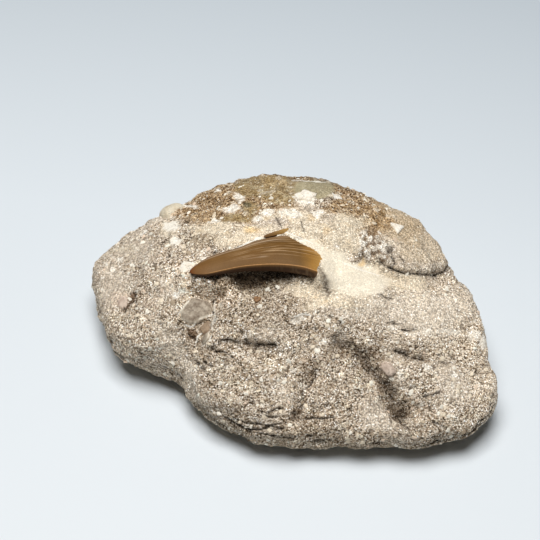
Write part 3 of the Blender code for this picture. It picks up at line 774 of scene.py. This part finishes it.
def noise(tree, place, scale, detail, roughness=0.5):
    """Soft noise, about 0 to 1."""
    inputs = {"Vector": place, "Scale": scale, "Detail": detail, "Roughness": roughness}
    return add(tree, "TexNoise", inputs).outputs[0]


def attribute(tree, name, kind="Fac"):
    """The mesh's own value or colour of this name."""
    return add(tree, "Attribute", attribute_name=name).outputs[kind]


def mixed(tree, amount, first, second, blend="MIX"):
    """The colour that a Mix node gives from first to second by the amount. Each is a socket or an sRGB
    colour from 0 to 255."""
    ends = [end if isinstance(end, bpy.types.NodeSocket) else (*linear(end), 1) for end in (first, second)]
    made = add(tree, "Mix", {0: amount, 6: ends[0], 7: ends[1]}, data_type="RGBA", blend_type=blend)
    return made.outputs[2]


def times(tree, colour, by):
    """The colour multiplied by another colour or a value."""
    return mixed(tree, 1, colour, by, "MULTIPLY")


def ramp(tree, value, stops):
    """A value looked up on the straight lines between the (place, result) stops, the two outermost first."""
    made = add(tree, "ValToRGB", {0: value})
    for i, (place, result) in enumerate(stops):
        stop = made.color_ramp.elements[i] if i < 2 else made.color_ramp.elements.new(place)
        stop.position = place
        stop.color = (*result, 1) if isinstance(result, tuple) else (result, result, result, 1)
    return made.outputs[0]


def bumps(tree, height, strength, distance):
    """The normal for bumps of this height, whose distance is in millimetres."""
    return add(tree, "Bump", {"Height": height, "Strength": strength, "Distance": distance * MM}).outputs[0]


def grain_group():
    """Cemented mineral grains of one size: each has its own random Tone, a Gap runs round it, and its Height
    falls from its middle."""
    group = bpy.data.node_groups.new("mineral_grains", "ShaderNodeTree")
    group.interface.new_socket("Place", socket_type="NodeSocketVector", in_out="INPUT")
    group.interface.new_socket("Size", socket_type="NodeSocketFloat", in_out="INPUT")
    given = group.nodes.new("NodeGroupInput").outputs
    scale = sums(group, "DIVIDE", 1, given["Size"])
    coarser = sums(group, "MULTIPLY", scale, 1.3)
    bend = add(group, "TexNoise", {"Vector": given["Place"], "Scale": coarser, "Detail": 1})
    centred = add(group, "VectorMath", {0: bend.outputs["Color"], 1: (0.5, 0.5, 0.5)}, operation="SUBTRACT")
    pushed = add(group, "VectorMath", {0: centred.outputs[0], "Scale": given["Size"]}, operation="SCALE")
    place = add(group, "VectorMath", {0: given["Place"], 1: pushed.outputs[0]}, operation="ADD").outputs[0]
    cells = add(group, "TexVoronoi", {"Vector": place, "Scale": scale})
    edges = add(group, "TexVoronoi", {"Vector": place, "Scale": scale}, feature="DISTANCE_TO_EDGE")
    to_gap = {"Value": edges.outputs["Distance"], "From Max": 0.13, "To Min": 1, "To Max": 0}
    result = group.nodes.new("NodeGroupOutput")
    for name, socket in (
        ("Tone", add(group, "SeparateColor", {0: cells.outputs["Color"]}).outputs[0]),
        ("Gap", add(group, "MapRange", to_gap).outputs[0]),
        ("Height", sums(group, "SUBTRACT", 1, cells.outputs["Distance"])),
    ):
        group.interface.new_socket(name, socket_type="NodeSocketFloat", in_out="OUTPUT")
        group.links.new(socket, result.inputs[name])
    return group


mineral_grains = grain_group()


def grains_in(tree, place, size):
    """The Tone, Gap and Height of grains of this size in millimetres."""
    made = add(tree, "Group", {"Place": place, "Size": size}, node_tree=mineral_grains)
    return made.outputs["Tone"], made.outputs["Gap"], made.outputs["Height"]


def new_material(name):
    """An empty node material, its tree and its Principled shader."""
    made = bpy.data.materials.new(name)
    made.use_nodes = True
    return made, made.node_tree, made.node_tree.nodes["Principled BSDF"]


def millimetres(tree):
    """The object's own coordinates in millimetres."""
    own = add(tree, "TexCoord").outputs["Object"]
    return add(tree, "VectorMath", {0: own, "Scale": 1 / MM}, operation="SCALE").outputs[0]


def drawn_line(tree, place, name, strength_name, wobble, narrow, wide, faintest):
    """How much of a fine line from the mesh's marks lies at each spot: it wanders off its course by up to
    wobble pixels, swells between two half widths, and fades to its faintest share where a grain hides it."""
    sway = noise(tree, place, 0.8, 4, 0.6)
    swell = noise(tree, place, 0.45, 3)
    grain = noise(tree, place, 1.5, 1)
    moved = sums(tree, "MULTIPLY_ADD", sums(tree, "SUBTRACT", sway, 0.5), 2 * wobble, attribute(tree, name))
    width = ramp(tree, swell, ((0.38, narrow), (0.64, wide)))
    inside = sums(tree, "SUBTRACT", 1, sums(tree, "DIVIDE", sums(tree, "ABSOLUTE", moved), width))
    solid = sums(tree, "MINIMUM", sums(tree, "MULTIPLY", sums(tree, "MAXIMUM", inside, 0), 1.8), 1)
    bared = ramp(tree, grain, ((0.4, faintest), (0.52, 1.0)))
    return sums(tree, "MULTIPLY", solid, sums(tree, "MULTIPLY", attribute(tree, strength_name), bared))


def matrix_material():
    """Sandy matrix: the skin's own tint, broken up by coarse and fine grains where it is gritty, with fine
    pale threads drawn in and the fine cracks drawn as dark lines of painted shade."""
    made, tree, shader = new_material("sandy_matrix")
    place = millimetres(tree)
    base = attribute(tree, "tint", "Color")
    grit = attribute(tree, "grit")
    tone, gap, height = grains_in(tree, place, 0.45)
    fine_tone, _, fine_height = grains_in(tree, place, 0.31)
    coarse = ramp(tree, tone, (
        (0, (0.1, 0.08, 0.05)), (1, (1.24, 1.33, 1.47)), (0.19, (0.24, 0.19, 0.14)),
        (0.35, (0.8, 0.74, 0.67)), (0.72, (0.91, 0.9, 0.88)),
    ))
    small = ramp(tree, fine_tone, (
        (0, (0.14, 0.11, 0.08)), (1, (1.24, 1.33, 1.47)), (0.26, (0.5, 0.44, 0.38)),
        (0.7, (0.93, 0.92, 0.9)),
    ))
    between = ramp(tree, gap, ((0, (2.1, 2.1, 2.1)), (1, (1.0, 0.93, 0.85))))
    speckle = times(tree, times(tree, coarse, small), between)
    colour = mixed(tree, sums(tree, "MULTIPLY_ADD", grit, 0.9, 0.1), base, times(tree, base, speckle))
    pale = drawn_line(tree, place, "thread", "thread_pale", 0.5, 0.8, 1.45, 0.8)
    crack = drawn_line(tree, place, "seam", "seam_shade", 1.9, 0.04, 1.3, 0.3)
    colour = mixed(tree, pale, colour, (250, 245, 234))
    # Painted shade along the fine cracks.
    colour = mixed(tree, crack, colour, (60, 47, 34))
    raised = sums(tree, "MULTIPLY_ADD", fine_height, 0.45, height)
    raised = sums(tree, "MULTIPLY_ADD", noise(tree, place, 0.9, 4), 0.8, raised)
    raised = sums(tree, "MULTIPLY", raised, sums(tree, "MULTIPLY_ADD", grit, 0.85, 0.15))
    raised = sums(tree, "MULTIPLY_ADD", crack, -1.5, raised)
    feed(tree, shader, {
        "Base Color": colour, "Roughness": 0.92, "Specular IOR Level": 0.25,
        "Normal": bumps(tree, raised, 1.0, 0.42),
    })
    return made


block.data.materials.append(matrix_material())
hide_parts("matrix_block")
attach(block, "root")

# The shark tooth
# A curved blade of brown enamel lying on its side, its root buried in the matrix at the right, with a small
# side cusp behind its shoulder. Fine ridges run from the root to the tip.


def side_grid(columns, rings):
    """Angles around and shares down of a ball's grid, closed at both poles, and its three-cornered faces."""
    around, down = np.meshgrid(np.arange(columns) * 2 * math.pi / columns, np.arange(1, rings) / rings)
    around = np.concatenate([[0], around.ravel(), [0]])
    down = np.concatenate([[0], down.ravel(), [1]])
    i, j = np.meshgrid(np.arange(columns), np.arange(rings - 2))
    a = (1 + j * columns + i).ravel()
    b = (1 + j * columns + (i + 1) % columns).ravel()
    k = np.arange(columns)
    last = len(down) - 1
    top = np.stack([np.zeros_like(k), 1 + k, 1 + (k + 1) % columns], axis=1)
    foot = last - columns + k
    bottom = np.stack([foot, np.full_like(k, last), last - columns + (k + 1) % columns], axis=1)
    return around, down, np.concatenate([
        top, np.stack([a, a + columns, b], axis=1), np.stack([b, a + columns, b + columns], axis=1), bottom,
    ])


def blade_surface(around, down, stations, tip_x, roll, ridges):
    """Points of a tooth's blade: lens sections from the tip, with a rounded end and sharp edges, each rolled
    about the line of the stations. ridges lift the skin along the way it faces, in millimetres."""
    far = stations[-1][0] * down**TIP_CROWDING
    front, back, y, z, upper, lower, blunt = blade_sections(far, stations)
    across = (front + back) / 2 + (back - front) / 2 * blunt * np.cos(around)
    turned = np.sin(around)
    above, below = upper * np.abs(turned) ** UPPER_BEND, -lower * np.abs(turned) ** LOWER_BEND
    swell = np.where(turned > 0, above, below) * blunt + ridges * turned
    return np.stack([
        tip_x + far,
        y + across * math.cos(roll) + swell * math.sin(roll),
        z - across * math.sin(roll) + swell * math.cos(roll),
    ], axis=1)


def outward_faces(points, faces):
    """The faces, turned round if together they enclose a negative volume."""
    a, b, c = points[faces[:, 0]], points[faces[:, 1]], points[faces[:, 2]]
    return faces if (a * np.cross(b, c)).sum() > 0 else faces[:, ::-1]


# The enamel's colours down its length: (millimetres from the tip, colour).
ENAMEL_STAGES = (
    (0, (100, 52, 20)), (0.8, (120, 72, 34)), (2.2, (122, 85, 45)), (8, (124, 90, 50)), (22, (118, 83, 40)),
    (36, (116, 83, 40)), (40, (160, 116, 54)), (44, (194, 150, 82)), (58, (156, 122, 80)),
)
CUSP_STAGES = ((0, (120, 88, 54)), (3, (134, 100, 58)), (6, (166, 128, 70)), (10, (184, 146, 86)))


def tooth_mesh(name, columns, rings, stages, stations, tip_x, roll):
    """One blade. Fine ridges and a groove run along its upper side at fixed shares of its width, so that they
    draw together at the tip, and the tint follows them."""
    around, down, faces = side_grid(columns, rings)
    far = stations[-1][0] * down**TIP_CROWDING
    across = np.cos(around)
    upper = smooth_step(np.sin(around) * 4 + 0.5)
    lay = np.stack([far * 0.035, across * 14 + 0.05 * far, np.zeros_like(far)], axis=1)
    streaks = 0.7 * lattice_noise(lay, 0.8, 61) + lattice_noise(lay, 0.4, 62)
    fanned = smooth_step((across + 0.7) / 0.45) * smooth_step((far - 9) / 12) * smooth_step((46 - far) / 6)
    groove = bell((across - 0.5) / 0.055) * smooth_step((far - 2) / 3) * smooth_step((34 - far) / 9)
    scuff = bell(np.hypot((far - 24) / 1.5, (across + 0.62) / 0.04))
    scuff += 0.6 * bell(np.hypot((far - 20.5) / 2.4, (across + 0.63) / 0.018))
    # Where the front rim begins, wavering a little: a pale cutting edge, brightened further as a painted
    # highlight.
    pale_lit_edge = 0.963 + 0.02 * lattice_noise(lay * (30, 0, 0) + 5, 1, 63)
    bedded = lattice_noise(np.stack([far, across * 9, 0 * far], axis=1), 0.9, 64)
    places, colours = zip(*stages)
    tints = np.stack([np.interp(far, places, channel) for channel in linear(colours).T], axis=1)
    back = smooth_step((across - 0.5) / 0.3) * smooth_step((40 - far) / 10)
    tints = toward(tints, (136, 106, 76), 0.7 * back)
    tints *= (1 + 0.16 * streaks)[:, None]
    # Pale and dark growth lines, the groove, scuffs, the back by the root, the front rim with a painted
    # highlight on its pale edge, the underside darkened as painted shade, and paler mottling under the root
    # end.
    for colour, amount in (
        ((196, 164, 124), 0.9 * fanned * smooth_step((streaks - 0.05) / 0.35)),
        ((74, 48, 24), 0.75 * fanned * smooth_step((-streaks - 0.12) / 0.35)),
        ((190, 166, 138), groove),
        ((176, 148, 116), 0.7 * scuff),
        ((170, 140, 92), 0.7 * smooth_step((across - 0.3) / 0.5) * smooth_step((far - 40) / 4)),
        ((198, 146, 88), 0.9 * smooth_step((-across - pale_lit_edge) / 0.02) * smooth_step((far - 3) / 6)),
        # Painted shade: the lower side is darkened for the shadow it lies in.
        ((76, 51, 31), 1 - upper),
        ((128, 104, 76), 0.8 * (1 - upper) * smooth_step((far - 26) / 10) * smooth_step(2.6 * bedded + 0.2)),
    ):
        tints = toward(tints, colour, amount)
    ridges = (0.05 * streaks * fanned + 0.02 * streaks - 0.1 * groove) * upper
    points = blade_surface(around, down, stations, tip_x, roll, ridges)
    return mesh_object(name, points - middle, outward_faces(points, faces), {
        "tint": np.clip(tints, 0.005, 0.9), "along": far, "across": across,
    })


def enamel_material():
    """Brown fossil enamel in the mesh's own tint, with hair-fine lines along the blade."""
    made, tree, shader = new_material("brown_enamel")
    along = sums(tree, "MULTIPLY", attribute(tree, "along"), 0.08)
    lay = add(tree, "CombineXYZ", {0: along, 1: attribute(tree, "across")}).outputs[0]
    hairs = noise(tree, lay, 30, 4, 0.6)
    cloud = noise(tree, millimetres(tree), 0.35, 4)
    lines = ramp(tree, hairs, ((0.3, 0.74), (0.7, 1.06)))
    shade = sums(tree, "MULTIPLY", lines, ramp(tree, cloud, ((0.3, 0.88), (0.7, 1.0))))
    feed(tree, shader, {
        "Base Color": times(tree, attribute(tree, "tint", "Color"), shade),
        "Roughness": ramp(tree, hairs, ((0.2, 0.62), (0.8, 0.48))),
        "Specular IOR Level": 0.14, "Normal": bumps(tree, hairs, 0.4, 0.08),
    })
    return made


brown_enamel = enamel_material()
for name, columns, rings, stages, *blade in (
    ("tooth_crown", 360, 170, ENAMEL_STAGES, TOOTH_STATIONS, TOOTH_TIP_X, TOOTH_ROLL),
    ("side_cusp", 48, 40, CUSP_STAGES, CUSP_STATIONS, CUSP_TIP_X, 0),
):
    made = tooth_mesh(name, columns, rings, stages, *blade)
    made.data.materials.append(brown_enamel)
    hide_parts("shark_tooth")
    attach(made, "root")

# Pieces set in the rock's skin
# Bone plates, shell chips, pebbles and a grain, each its own mineral, bedded in the matrix when it set and
# worn down flush with it.

# Each piece's name, finish, kind of outline, outline, thickness, and the share of the thickness that stands
# out of the rock. An outline is (degrees, radius) about the piece's place; a straight-sided one's rows are
# (degrees, distance) of its sides.
INSETS = (
    ("bone_plate", "bone", "straight",
     ((-145, 5.0), (-90, 4.3), (-56, 3.5), (0, 5.6), (75, 4.7), (143, 4.5)), 2.2, 0.3),
    ("lower_plate", "brown_bone", "straight",
     ((-150, 1.9), (-75, 2.6), (0, 2.3), (65, 2.5), (127, 1.3)), 1.8, 0.3),
    ("shell_disc", "bone", "round", ((-90, 1.5), (0, 2.3), (90, 1.4), (180, 2.2)), 1.8, 0.35),
    ("white_flake", "shell", "straight",
     ((-150, 2.6), (-75, 1.9), (-10, 2.8), (70, 2.2), (140, 2.4)), 1.4, 0.45),
    ("pale_pebble", "pebble", "round", ((-90, 4.8), (-40, 4.2), (0, 4.9), (90, 3.9), (180, 4.6)), 7.4, 0.36),
    ("amber_grain", "amber", "broken",
     ((-100, 1.3), (-40, 1.0), (10, 1.4), (70, 1.1), (120, 1.5), (190, 1.0)), 2.0, 0.42),
    ("back_chip", "shell", "broken",
     ((-140, 3.3), (-100, 2.4), (-60, 3.2), (-20, 2.6), (20, 3.8), (60, 2.9), (100, 3.6), (145, 2.3),
      (180, 3.9)), 1.8, 0.4),
    ("corner_chip", "shell", "straight", ((-150, 1.6), (-30, 1.7), (90, 1.5)), 1.6, 0.4),
    ("pink_shell", "pink", "broken", ((-90, 2.3), (-30, 2.0), (30, 2.2), (90, 2.6), (180, 2.1)), 2, 0.32),
    ("pink_pebble", "pink", "broken",
     ((-70, 2.5), (-20, 2.9), (20, 2.1), (80, 2.4), (140, 2.7), (200, 1.7)), 3, 0.4),
)
INSET_COLUMNS, INSET_RINGS = 64, 36
# For each kind of outline: the power that turns its rim down, how ragged it is, and how worn the faces are.
INSET_KINDS = {"round": (0.6, 0.14, 0.16), "straight": (0.42, 0.14, 0.35), "broken": (0.42, 0.3, 0.16)}
# Each finish's slot, then its material: name, light and dark colour, rim colour, size of its mottling in
# millimetres, and roughness.
INSET_FINISHES = {
    "bone": ("fossil_bone", "fossil_bone", (188, 174, 154), (124, 108, 90), (216, 204, 184), 1.6, 0.7),
    "brown_bone": ("fossil_bone", "brown_bone", (160, 137, 112), (124, 101, 78), (196, 178, 152), 1.8, 0.6),
    "shell": ("shell_white", "white_shell", (246, 240, 227), (226, 213, 192), (236, 227, 210), 1.6, 0.8),
    "pebble": ("pebble_cream", "cream_pebble", (220, 209, 186), (200, 185, 158), (212, 199, 175), 2.6, 0.65),
    "amber": ("grain_amber", "amber_mineral", (168, 130, 92), (122, 88, 58), (112, 82, 56), 0.8, 0.5),
    "pink": ("shell_pink", "pink_shell_mineral", (214, 195, 177), (182, 160, 142), (224, 211, 193), 1.6, 0.7),
}
SIDE_SHARPNESS = 9


def straight_sided(stops, angle):
    """Distance to the edge at each angle of a straight-sided outline, each side facing its own way at its own
    distance: the nearest of the sides' lines, with the corners a little rounded."""
    near = sum(
        np.maximum(np.cos(angle - math.radians(way)), 0.02) ** SIDE_SHARPNESS / distance**SIDE_SHARPNESS
        for way, distance in stops
    )
    return near ** (-1 / SIDE_SHARPNESS)


def inset_points(around, down, kind, outline, thickness, proud, seed):
    """Points of an inset about its own middle, between an egg and a tablet, with the rock's skin at height 0:
    its rim follows the outline, and slow noise wears its faces."""
    blunt, ragged, wear = INSET_KINDS[kind]
    turn = down * math.pi
    radius = (straight_sided if kind == "straight" else closed_curve)(outline, around)
    rim = lattice_noise(np.stack([np.cos(around), np.sin(around), 0 * around], axis=1) * 3, 1, seed + 2)
    radius = radius * (1 + ragged * rim) * np.sin(turn) ** blunt
    height = np.cos(turn) * thickness / 2 + thickness * (proud - 0.5)
    points = np.stack([radius * np.cos(around), radius * np.sin(around), height], axis=1)
    worn = 0.05 * thickness * lattice_noise(points + seed, 1.1, seed)
    worn += 0.22 * lattice_noise(points, 2.6, seed + 1)
    return points * (1 + worn * wear)[:, None]


def inset_material(name, light, dark, rim, size, roughness):
    """A mineral mottled between two colours at this size in millimetres, with fine pores and a paler or
    darker rim where its face turns down."""
    made, tree, shader = new_material(name)
    place = millimetres(tree)
    broad = noise(tree, place, 1 / size, 5, 0.6)
    tone, _, height = grains_in(tree, place, 0.38)
    colour = mixed(tree, ramp(tree, broad, ((0.36, 0.0), (0.64, 1.0))), light, dark)
    colour = times(tree, colour, ramp(tree, tone, ((0, 0.66), (1, 1.06), (0.18, 0.92))))
    frayed = sums(tree, "MULTIPLY_ADD", broad, 0.24, sums(tree, "SUBTRACT", attribute(tree, "reach"), 0.12))
    colour = mixed(tree, ramp(tree, frayed, ((0.86, 0.0), (0.95, 1.0))), colour, rim)
    colour = mixed(tree, attribute(tree, "pale"), colour, (236, 226, 206))
    raised = sums(tree, "MULTIPLY_ADD", broad, 2.0, height)
    feed(tree, shader, {
        "Base Color": colour, "Roughness": ramp(tree, broad, ((0, roughness - 0.1), (1, roughness + 0.1))),
        "Specular IOR Level": 0.35, "Normal": bumps(tree, raised, 0.6, 0.12),
    })
    return made


inset_materials = {finish: inset_material(*row) for finish, (_, *row) in INSET_FINISHES.items()}
for i, (name, finish, kind, outline, thickness, proud) in enumerate(INSETS):
    around, down, faces = side_grid(INSET_COLUMNS, INSET_RINGS)
    points = inset_points(around, down, kind, outline, thickness, proud, 80 + 3 * i)
    seat, slope = skin_seat(SEATS[name][0])
    points = points @ np.array(Vector((0, 0, 1)).rotation_difference(slope).to_matrix()).T + seat
    across, below = seen_at(points - middle)
    # A pale thread of shell that crosses the piece goes on over it.
    pale = np.zeros(len(points))
    for line, strength in PALE_THREADS:
        pale = np.maximum(pale, strength * bell(from_line(across, below, line)[0] / 1.1))
    made = mesh_object(name + "_worn", points - middle, outward_faces(points, faces), {
        "reach": np.sin(down * math.pi), "pale": pale,
    })
    made.data.materials.append(inset_materials[finish])
    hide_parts(name)
    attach(made, "root")

# Sand and shell crumbs
# Loose-looking mineral grains and broken shell cemented on the block's skin, which make its surface gritty
# in outline and shadow. Each is a small lump of twenty faces, partly sunk in the skin.
GOLDEN = (1 + math.sqrt(5)) / 2
crumb_rectangle = np.array([(-1, GOLDEN, 0), (1, GOLDEN, 0), (-1, -GOLDEN, 0), (1, -GOLDEN, 0)])
crumb_points = np.concatenate([np.roll(crumb_rectangle, turn, axis=1) for turn in range(3)])
crumb_points /= math.hypot(1, GOLDEN)
crumb_faces = np.array([
    (0, 11, 5), (0, 5, 1), (0, 1, 7), (0, 7, 10), (0, 10, 11), (1, 5, 9), (5, 11, 4), (11, 10, 2), (10, 7, 6),
    (7, 1, 8), (3, 9, 4), (3, 4, 2), (3, 2, 6), (3, 6, 8), (3, 8, 9), (4, 9, 5), (2, 4, 11), (6, 2, 10),
    (8, 6, 7), (9, 8, 1),
])
LOWEST_CRUMB = 0.02


def scattered(count, weight, chance):
    """Random places on the rock: faces picked by area and weight, a random spot in each, with the skin's
    direction and the place's tint."""
    corners = rock[skin_faces]
    areas = np.linalg.norm(np.cross(corners[:, 2] - corners[:, 0], corners[:, 3] - corners[:, 1]), axis=1)
    share = np.cumsum(areas * weight[skin_faces].mean(1))
    picked = np.searchsorted(share, chance.random(count) * share[-1])
    s, t = chance.random((2, count, 1))
    blend = ((1 - s) * (1 - t), s * (1 - t), s * t, (1 - s) * t)
    return [
        sum(part * values[skin_faces[picked, i]] for i, part in enumerate(blend))
        for values in (rock, rock_normals, tint)
    ]


def crumb_mesh(name, count, weight, sizes, flatness, lean, sunk, palette, seed):
    """Crumbs scattered on the rock: each a ball of twenty faces with pushed corners, stretched and turned at
    random, leaning off the skin's own direction, then sunk along it. Colours are the skin's own, moved
    towards a random one of the palette."""
    chance = np.random.default_rng(seed)
    place, out, ground = scattered(count, weight, chance)
    size = sizes[0] + (sizes[1] - sizes[0]) * chance.random(count) ** 2.2
    longest = 1 + 0.35 * chance.random(count)
    middling = 0.75 + 0.35 * chance.random(count)
    thinnest = flatness * (0.8 + 0.5 * chance.random(count))
    extent = size[:, None] * np.stack([longest, middling, thinnest], axis=1) / 2
    pushed = 1 + 0.34 * (chance.random((count, len(crumb_points), 1)) - 0.5)
    side = np.cross(out, chance.normal(size=(count, 3)))
    upright = out + lean * chance.normal(size=(count, 3))
    upright /= np.linalg.norm(upright, axis=1, keepdims=True)
    side = np.cross(upright, side)
    side /= np.linalg.norm(side, axis=1, keepdims=True)
    axes = np.stack([side, np.cross(upright, side), upright], axis=1)
    points = np.einsum("cpk,ckx->cpx", crumb_points * pushed * extent[:, None], axes)
    points += (place - out * (size * sunk)[:, None])[:, None]
    points[:, :, 2] = np.maximum(points[:, :, 2], LOWEST_CRUMB)
    faces = crumb_faces + len(crumb_points) * np.arange(count)[:, None, None]
    shades = np.array([(*linear(colour), often, amount) for colour, often, amount in palette])
    picked = shades[chance.choice(len(shades), count, p=shades[:, 3] / shades[:, 3].sum())]
    colours = ground + (picked[:, :3] - ground) * picked[:, 4:5]
    colours = np.clip(colours * (0.9 + 0.25 * chance.random((count, 1))), 0.01, 0.9)
    return mesh_object(name, points.reshape(-1, 3) - middle, faces.reshape(-1, 3), {
        "tint": np.repeat(colours, len(crumb_points), axis=0),
    }, smooth=False)


def crumb_material():
    """Grain colours from the mesh, a little mottled, dull."""
    made, tree, shader = new_material("crumb_minerals")
    cloud = noise(tree, millimetres(tree), 2.2, 3)
    mottled = ramp(tree, cloud, ((0.3, 0.8), (0.7, 1.1)))
    feed(tree, shader, {
        "Base Color": times(tree, attribute(tree, "tint", "Color"), mottled),
        "Roughness": ramp(tree, cloud, ((0, 0.7), (1, 0.95))), "Specular IOR Level": 0.15,
    })
    return made


rock_normals = point_normals(rock, skin_faces)
crumb_minerals = crumb_material()
# Crumbs lie on gritty skin, clear of the floor and of what the tooth covers, and seldom in cracks. Shell lies
# in drifts.
open_skin = np.clip(rough - 0.25, 0.02, 1) * smooth_step((rock[:, 2] - 0.5) / 1.5)
open_skin *= (1 - 0.7 * np.clip(crevice_shade, 0, 1)) * ~there
shelly_skin = open_skin * (0.25 + smooth_step(lattice_noise(rock, 11, 90) * 2))
# A palette's rows: colour, how often it is picked, and how far it replaces the skin's own tint.
SAND_PALETTE = (
    ((222, 208, 184), 5, 0.4), ((240, 233, 218), 2, 0.7), ((196, 177, 148), 5, 0.4),
    ((140, 116, 88), 2, 0.6), ((96, 78, 58), 1.2, 0.7), ((160, 122, 84), 0.5, 0.6),
)
SHELL_PALETTE = (
    ((238, 231, 215), 4, 0.85), ((228, 213, 188), 5, 0.8), ((222, 198, 174), 1, 0.8),
    ((160, 140, 114), 1, 0.8),
)
for name, *crumbs in (
    ("sand_grains_a", 9900, open_skin, (0.36, 0.85), 0.8, 1.0, 0.22, SAND_PALETTE, 101),
    ("sand_grains_b", 9900, open_skin, (0.32, 0.75), 0.8, 1.0, 0.18, SAND_PALETTE, 102),
    ("shell_crumbs", 2000, shelly_skin, (0.7, 2.1), 0.3, 0.3, 0.05, SHELL_PALETTE, 103),
):
    made = crumb_mesh(name, *crumbs)
    made.data.materials.append(crumb_minerals)
    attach(made, "root")

# The studio
# A flat sheet of pale paper under a wide soft lamp high overhead, a little to the left and in front of the
# block's middle, in a dim bluish room.
FLOOR_REACH = 3
floor_mesh = bpy.data.meshes.new("floor")
floor_corners = [(x * FLOOR_REACH, y * FLOOR_REACH, 0) for x, y in ((-1, -1), (1, -1), (1, 1), (-1, 1))]
floor_mesh.from_pydata(floor_corners, [], [(0, 1, 2, 3)])
floor = bpy.data.objects.new("floor", floor_mesh)
bpy.context.scene.collection.objects.link(floor)
paper, tree, shader = new_material("pale_paper")
spot = add(tree, "SeparateXYZ", {0: add(tree, "TexCoord").outputs["Object"]}).outputs
# Painted shade: the paper's colour darkens with the distance, in metres, and a little towards the right,
# standing in for the lamp's falloff.
deep = sums(tree, "MULTIPLY_ADD", spot["Y"], 2.0, sums(tree, "MULTIPLY_ADD", spot["X"], 0.5, 0.35))
PAPER_FALLOFF_SHADE = ((0, (218, 222, 224)), (1, (173, 182, 189)), (0.45, (208, 214, 218)))
shade = ramp(tree, deep, [(place, tuple(linear(colour))) for place, colour in PAPER_FALLOFF_SHADE])
feed(tree, shader, {"Base Color": shade, "Roughness": 0.7})
floor_mesh.materials.append(paper)

LAMP_SIZE, LAMP_POWER, LAMP_AT = 0.6, 14.25, (-0.06, -0.04, 1.05)
ROOM_COLOUR, ROOM_STRENGTH = (0.8, 0.88, 0.95, 1), 0.06
lamp = bpy.data.objects.new("softbox", bpy.data.lights.new("softbox", "AREA"))
lamp.data.size = LAMP_SIZE
lamp.data.energy = LAMP_POWER
lamp.location = LAMP_AT
lamp.rotation_mode = "QUATERNION"
lamp.rotation_quaternion = (Vector(VIEW_AT) - lamp.location).to_track_quat("-Z", "Y")
bpy.context.scene.collection.objects.link(lamp)
world = bpy.data.worlds.new("studio")
bpy.context.scene.world = world
world.use_nodes = True
feed(world.node_tree, world.node_tree.nodes["Background"], {"Color": ROOM_COLOUR, "Strength": ROOM_STRENGTH})
bpy.context.scene.view_settings.view_transform = "Standard"
